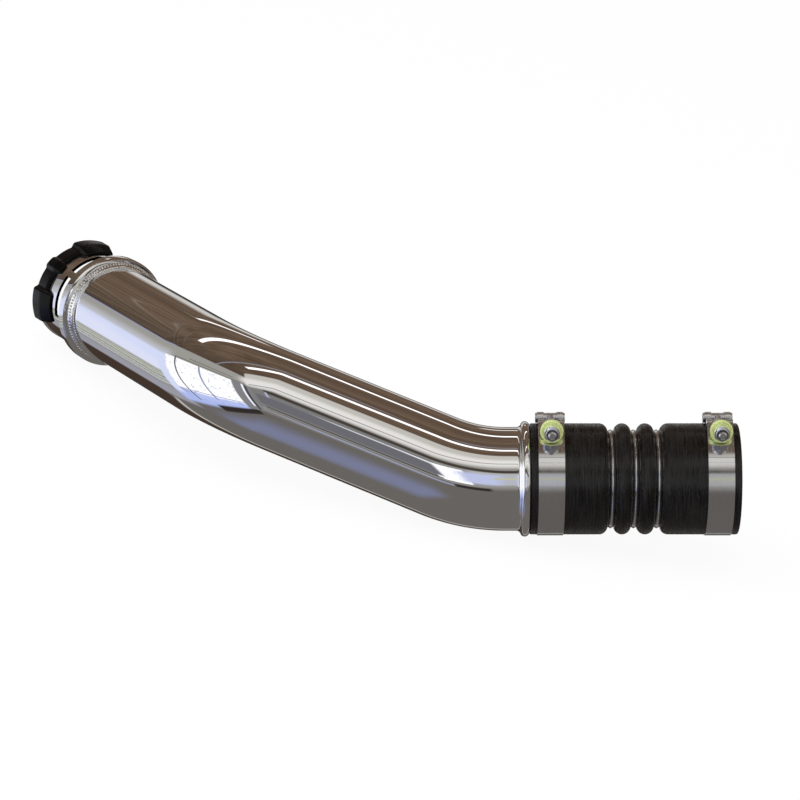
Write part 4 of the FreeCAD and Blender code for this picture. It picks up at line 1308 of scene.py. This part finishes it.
@dataclass
class Studio:
    """Floor, soft light, the reflected room and the camera.

    Camera_at, right and up are in the working frame. Spans are where a soft step starts and ends.
    """

    place: np.ndarray
    camera_at: tuple[float, float, float] = (247.2, 2169.4, -1170.9)
    right: tuple[float, float, float] = (-1.0, 0.0, 0.0)
    up: tuple[float, float, float] = (0.0, 0.49547, 0.86862)
    lens: float = 151.2
    sensor: float = 36.0
    sight: float = 200.0
    room_turn: float = 17.4                                 # degrees between the view and the room's front wall
    wall_near: float = 0.02
    wall_span: tuple[float, float] = (0.03, 0.08)           # where a wall fades in at the edge of its side
    behind_span: tuple[float, float] = (0.925, 0.96)        # dark ring around the backdrop
    backdrop_span: tuple[float, float] = (0.988, 0.993)     # white backdrop straight behind the part
    daylight: Colour = (0.82, 0.82, 0.84)
    floor_half: float = 40.0
    floor_drop: float = 0.0004
    floor_shade: float = 0.9
    floor_glow: float = 0.93
    lamp_size: float = 2.4
    lamp_power: float = 26.0
    lamp_way: tuple[float, float, float] = (-0.7, 1.6, 1.2)

    def axes(self) -> np.ndarray:
        """The view's axes in the row's frame.

        Returns:
            Right, up and towards the viewer, one in each column.
        """
        turn = self.place[:3, :3] / METRES
        right, up = turn @ np.array(self.right), turn @ np.array(self.up)
        return np.column_stack([right, up, np.cross(right, up)])

    def camera(self) -> None:
        """The photograph's camera."""
        data = bpy.data.cameras.new("camera")
        data.lens, data.sensor_width, data.clip_end = self.lens, self.sensor, self.sight
        camera = bpy.data.objects.new("camera", data)
        bpy.context.scene.collection.objects.link(camera)
        at = self.place @ np.array([*self.camera_at, 1.0])
        matrix = np.eye(4)
        matrix[:3, :3], matrix[:3, 3] = self.axes(), at[:3]
        camera.matrix_world = Matrix(matrix.tolist())
        bpy.context.scene.camera = camera

    def walls(self, nodes: Nodes, x: Socket, y: Socket, z: Socket) -> dict[Wall, Spot]:
        """Places on each wall that a direction meets.

        Args:
            nodes: tree of the world.
            x, y, z: parts of the direction to the right, up and towards the viewer.

        Returns:
            For each wall: place across, rise, and a share that is 1 on its side of the room.
        """
        c, s = math.cos(math.radians(self.room_turn)), math.sin(math.radians(self.room_turn))
        right = nodes.maths("SUBTRACT", nodes.maths("MULTIPLY", x, c), nodes.maths("MULTIPLY", z, s))
        near = nodes.maths("ADD", nodes.maths("MULTIPLY", x, s), nodes.maths("MULTIPLY", z, c))
        left = nodes.maths("MULTIPLY", right, -1.0)

        def seen(distance: Socket, across: Socket, rise: Socket) -> Spot:
            """Places on one wall.

            Args:
                distance: part of the direction towards the wall.
                across, rise: the other two parts.

            Returns:
                Place across, rise, and a share that is 1 on the wall's side.
            """
            safe = nodes.maths("MAXIMUM", distance, self.wall_near)
            return (nodes.maths("DIVIDE", across, safe), nodes.maths("DIVIDE", rise, safe),
                    nodes.smooth(distance, *self.wall_span))

        high = nodes.maths("MULTIPLY", nodes.maths("ARCTAN2", y, z), 180 / math.pi)
        side = nodes.maths("MULTIPLY", nodes.maths("ARCSINE", x), 180 / math.pi)
        return {Wall.LEFT: seen(left, near, y), Wall.CEILING: seen(y, right, near),
                Wall.FRONT: seen(near, right, y), Wall.ROUND: (side, high, None)}

    def boards(self, nodes: Nodes, across: Socket, rise: Socket, towards: Socket) -> Socket:
        """Brown boards with pale joints, darker to the left.

        Args:
            nodes: tree of the world.
            across, rise: places on the ceiling.
            towards: direction of the ray.

        Returns:
            The colour.
        """
        grain = nodes.lines(nodes.maths("SUBTRACT", rise, nodes.maths("MULTIPLY", across, BOARD_SLANT)), *BOARD_GRAIN)
        mixed = nodes.mixed(grain, nodes.noise(towards, *BOARD_CLOUDS), BOARD_SHARES)
        brown = nodes.blend(nodes.smooth(mixed, *BOARD_SPAN), *BOARD_SHADES)
        joints = nodes.smooth(nodes.lines(rise, *JOINT_NOISE), *JOINT_SPAN)
        joints = nodes.maths("MULTIPLY", joints, nodes.smooth(across, *JOINT_ACROSS))
        joints = nodes.maths("MULTIPLY", joints, nodes.smooth(rise, *JOINT_RISE))
        lined = nodes.blend(joints, brown, JOINT_SHADE)
        return nodes.blend(nodes.smooth(across, *SHADOW_ACROSS, *SHADOW_SHARES), lined, SHADOW)

    def woven(self, nodes: Nodes, patch: Patch, across: Socket, rise: Socket, towards: Socket) -> Union[Socket, Colour]:
        """Shade of a patch, broken up by its weave.

        Args:
            nodes: tree of the world.
            patch: the patch.
            across, rise: places on its wall.
            towards: direction of the ray.

        Returns:
            The colour, plain or from the tree.
        """
        shade = tuple(c * patch.bright for c in linear(*patch.shade))
        if patch.weave is Weave.SPECKS:
            return nodes.blend(nodes.smooth(nodes.noise(towards, *SPECK_NOISE), *SPECK_SPAN), shade, SPECK_SHADE)
        if patch.weave is Weave.STRIPES:
            lines = nodes.lines(rise, *STRIPE_NOISE)
            dark = nodes.blend(nodes.smooth(lines, *STRIPE_DARK_SPAN), STRIPE_DARK, shade)
            return nodes.blend(nodes.smooth(lines, *STRIPE_PALE_SPAN), dark, STRIPE_PALE)
        if patch.weave is Weave.BOARDS:
            return self.boards(nodes, across, rise, towards)
        return shade

    def room(self, nodes: Nodes) -> Socket:
        """Colour of the room in the direction of a reflected ray.

        Args:
            nodes: tree of the world.

        Returns:
            The colour of all patches laid over each other, with the backdrop last.
        """
        towards = nodes.add("ShaderNodeTexCoord").outputs["Generated"]
        axes = self.axes()
        walls = self.walls(nodes, *(nodes.dot(towards, axes[:, column]) for column in range(3)))
        colour: Socket = nodes.add("ShaderNodeRGB").outputs[0]
        colour.default_value = (*BETWEEN, 1.0)
        for patch in ROOM:
            across, rise, share = walls[patch.wall]
            tilted = rise
            if patch.slope:
                tilted = nodes.maths("SUBTRACT", rise, nodes.maths("MULTIPLY", across, patch.slope))
            ends = (90.0, 180.0) if patch.wall is Wall.ROUND else (FAR - 1, FAR - 1)    # no edge shows past these
            for value, (low, high), end in ((across, patch.across, ends[0]), (tilted, patch.rise, ends[1])):
                parts = [nodes.smooth(value, low - patch.soft, low + patch.soft)] if low > -end else []
                parts += [nodes.smooth(value, high - patch.soft, high + patch.soft, 1.0, 0.0)] if high < end else []
                for part in parts:
                    share = nodes.maths("MULTIPLY", share, part) if share else part
            colour = nodes.blend(share, colour, self.woven(nodes, patch, across, rise, towards))
            colour.node.label = patch.name
        back = nodes.maths("MULTIPLY", nodes.dot(towards, axes[:, 2]), -1.0)
        colour = nodes.blend(nodes.smooth(back, *self.behind_span), colour, BEHIND)
        return nodes.blend(nodes.smooth(back, *self.backdrop_span), colour, WHITE)

    def world(self) -> None:
        """White behind the part, the room in reflections and plain soft light on everything else."""
        world = bpy.data.worlds.new("studio")
        bpy.context.scene.world = world
        world.use_nodes = True
        nodes = Nodes(world.node_tree)
        path = nodes.add("ShaderNodeLightPath").outputs
        mirrored = nodes.maths("MAXIMUM", path["Is Glossy Ray"], path["Is Transmission Ray"])
        plain = nodes.add("ShaderNodeBackground", {"Color": (*self.daylight, 1.0)})
        room = nodes.add("ShaderNodeBackground", {"Color": self.room(nodes)})
        white = nodes.add("ShaderNodeBackground", {"Color": (*WHITE, 1.0)})
        soft = nodes.mix(mirrored, plain, room)
        nodes.add("ShaderNodeOutputWorld", {"Surface": nodes.mix(path["Is Camera Ray"], soft, white).outputs[0]})

    def floor(self) -> None:
        """Pale floor that keeps a faint shadow and stays out of reflections."""
        mesh = bpy.data.meshes.new("floor")
        corners = [(x * self.floor_half, y * self.floor_half, -self.floor_drop)
                   for x, y in ((-1, -1), (1, -1), (1, 1), (-1, 1))]
        mesh.from_pydata(corners, [], [(0, 1, 2, 3)])
        floor = bpy.data.objects.new("floor", mesh)
        bpy.context.scene.collection.objects.link(floor)
        material = bpy.data.materials.new("pale_floor")
        material.use_nodes = True
        nodes = Nodes(material.node_tree)
        path = nodes.add("ShaderNodeLightPath").outputs
        plain = nodes.add("ShaderNodeBsdfDiffuse", {"Color": (*(self.floor_shade,) * 3, 1.0)})
        glow = nodes.add("ShaderNodeEmission", {"Color": (*WHITE, 1.0), "Strength": 1.0})
        clear = nodes.add("ShaderNodeBsdfTransparent")
        seen = nodes.maths("MULTIPLY", path["Is Camera Ray"], self.floor_glow)
        last = nodes.mix(path["Is Glossy Ray"], nodes.mix(seen, plain, glow), clear)
        nodes.add("ShaderNodeOutputMaterial", {"Surface": last.outputs[0]})
        mesh.materials.append(material)

    def lamp(self) -> None:
        """One large soft lamp above and to the viewer's left."""
        data = bpy.data.lights.new("soft_lamp", "AREA")
        data.shape, data.size, data.energy = "DISK", self.lamp_size, self.lamp_power
        lamp = bpy.data.objects.new("soft_lamp", data)
        bpy.context.scene.collection.objects.link(lamp)
        way = sum(reach * axis for reach, axis in zip(self.lamp_way, self.axes().T))
        lamp.location = Vector(way.tolist())
        lamp.rotation_euler = Vector(way.tolist()).to_track_quat("Z", "Y").to_euler()
        lamp.visible_glossy = False

    def make(self) -> None:
        """Set up the whole studio."""
        bpy.context.scene.view_settings.view_transform = "Standard"
        self.camera()
        self.world()
        self.floor()
        self.lamp()


def dress(nodes: dict[str, bpy.types.Object], finishes: dict[str, Finish], place: np.ndarray) -> None:
    """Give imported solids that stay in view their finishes.

    Args:
        nodes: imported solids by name.
        finishes: finish by the end of a solid's name.
        place: matrix of the working frame.
    """
    for name, node in nodes.items():
        for ending, finish in finishes.items():
            if name.endswith(ending):
                for slot in node.material_slots:
                    slot.material = finish.material(place)
                LOG.info("%s: dressed in %s", name, finish.name)


def main() -> None:
    """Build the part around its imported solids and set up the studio."""
    logging.basicConfig(level=logging.INFO, format="%(message)s")
    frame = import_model()
    route = Route()
    place = rest_place(route, frame["record"])
    Studio(place).make()
    ChargePipe(place).make(route)
    Weld(place).make(route)
    Connector(place).make(route)
    LockClip(place).make(route)
    Hose(place).make()
    clamp = Clamp(place)
    clamp.make("free_clamp", clamp.inset)
    clamp.make("pipe_clamp", route.hose_length - clamp.inset)
    dress(frame["nodes"], {
        "_strap": STRAP_STEEL, "_bridge": BRIDGE_STEEL, "_bolt": BOLT_STEEL, "_barrel": BARREL_STEEL}, place)


if __name__ == "__main__":
    main()
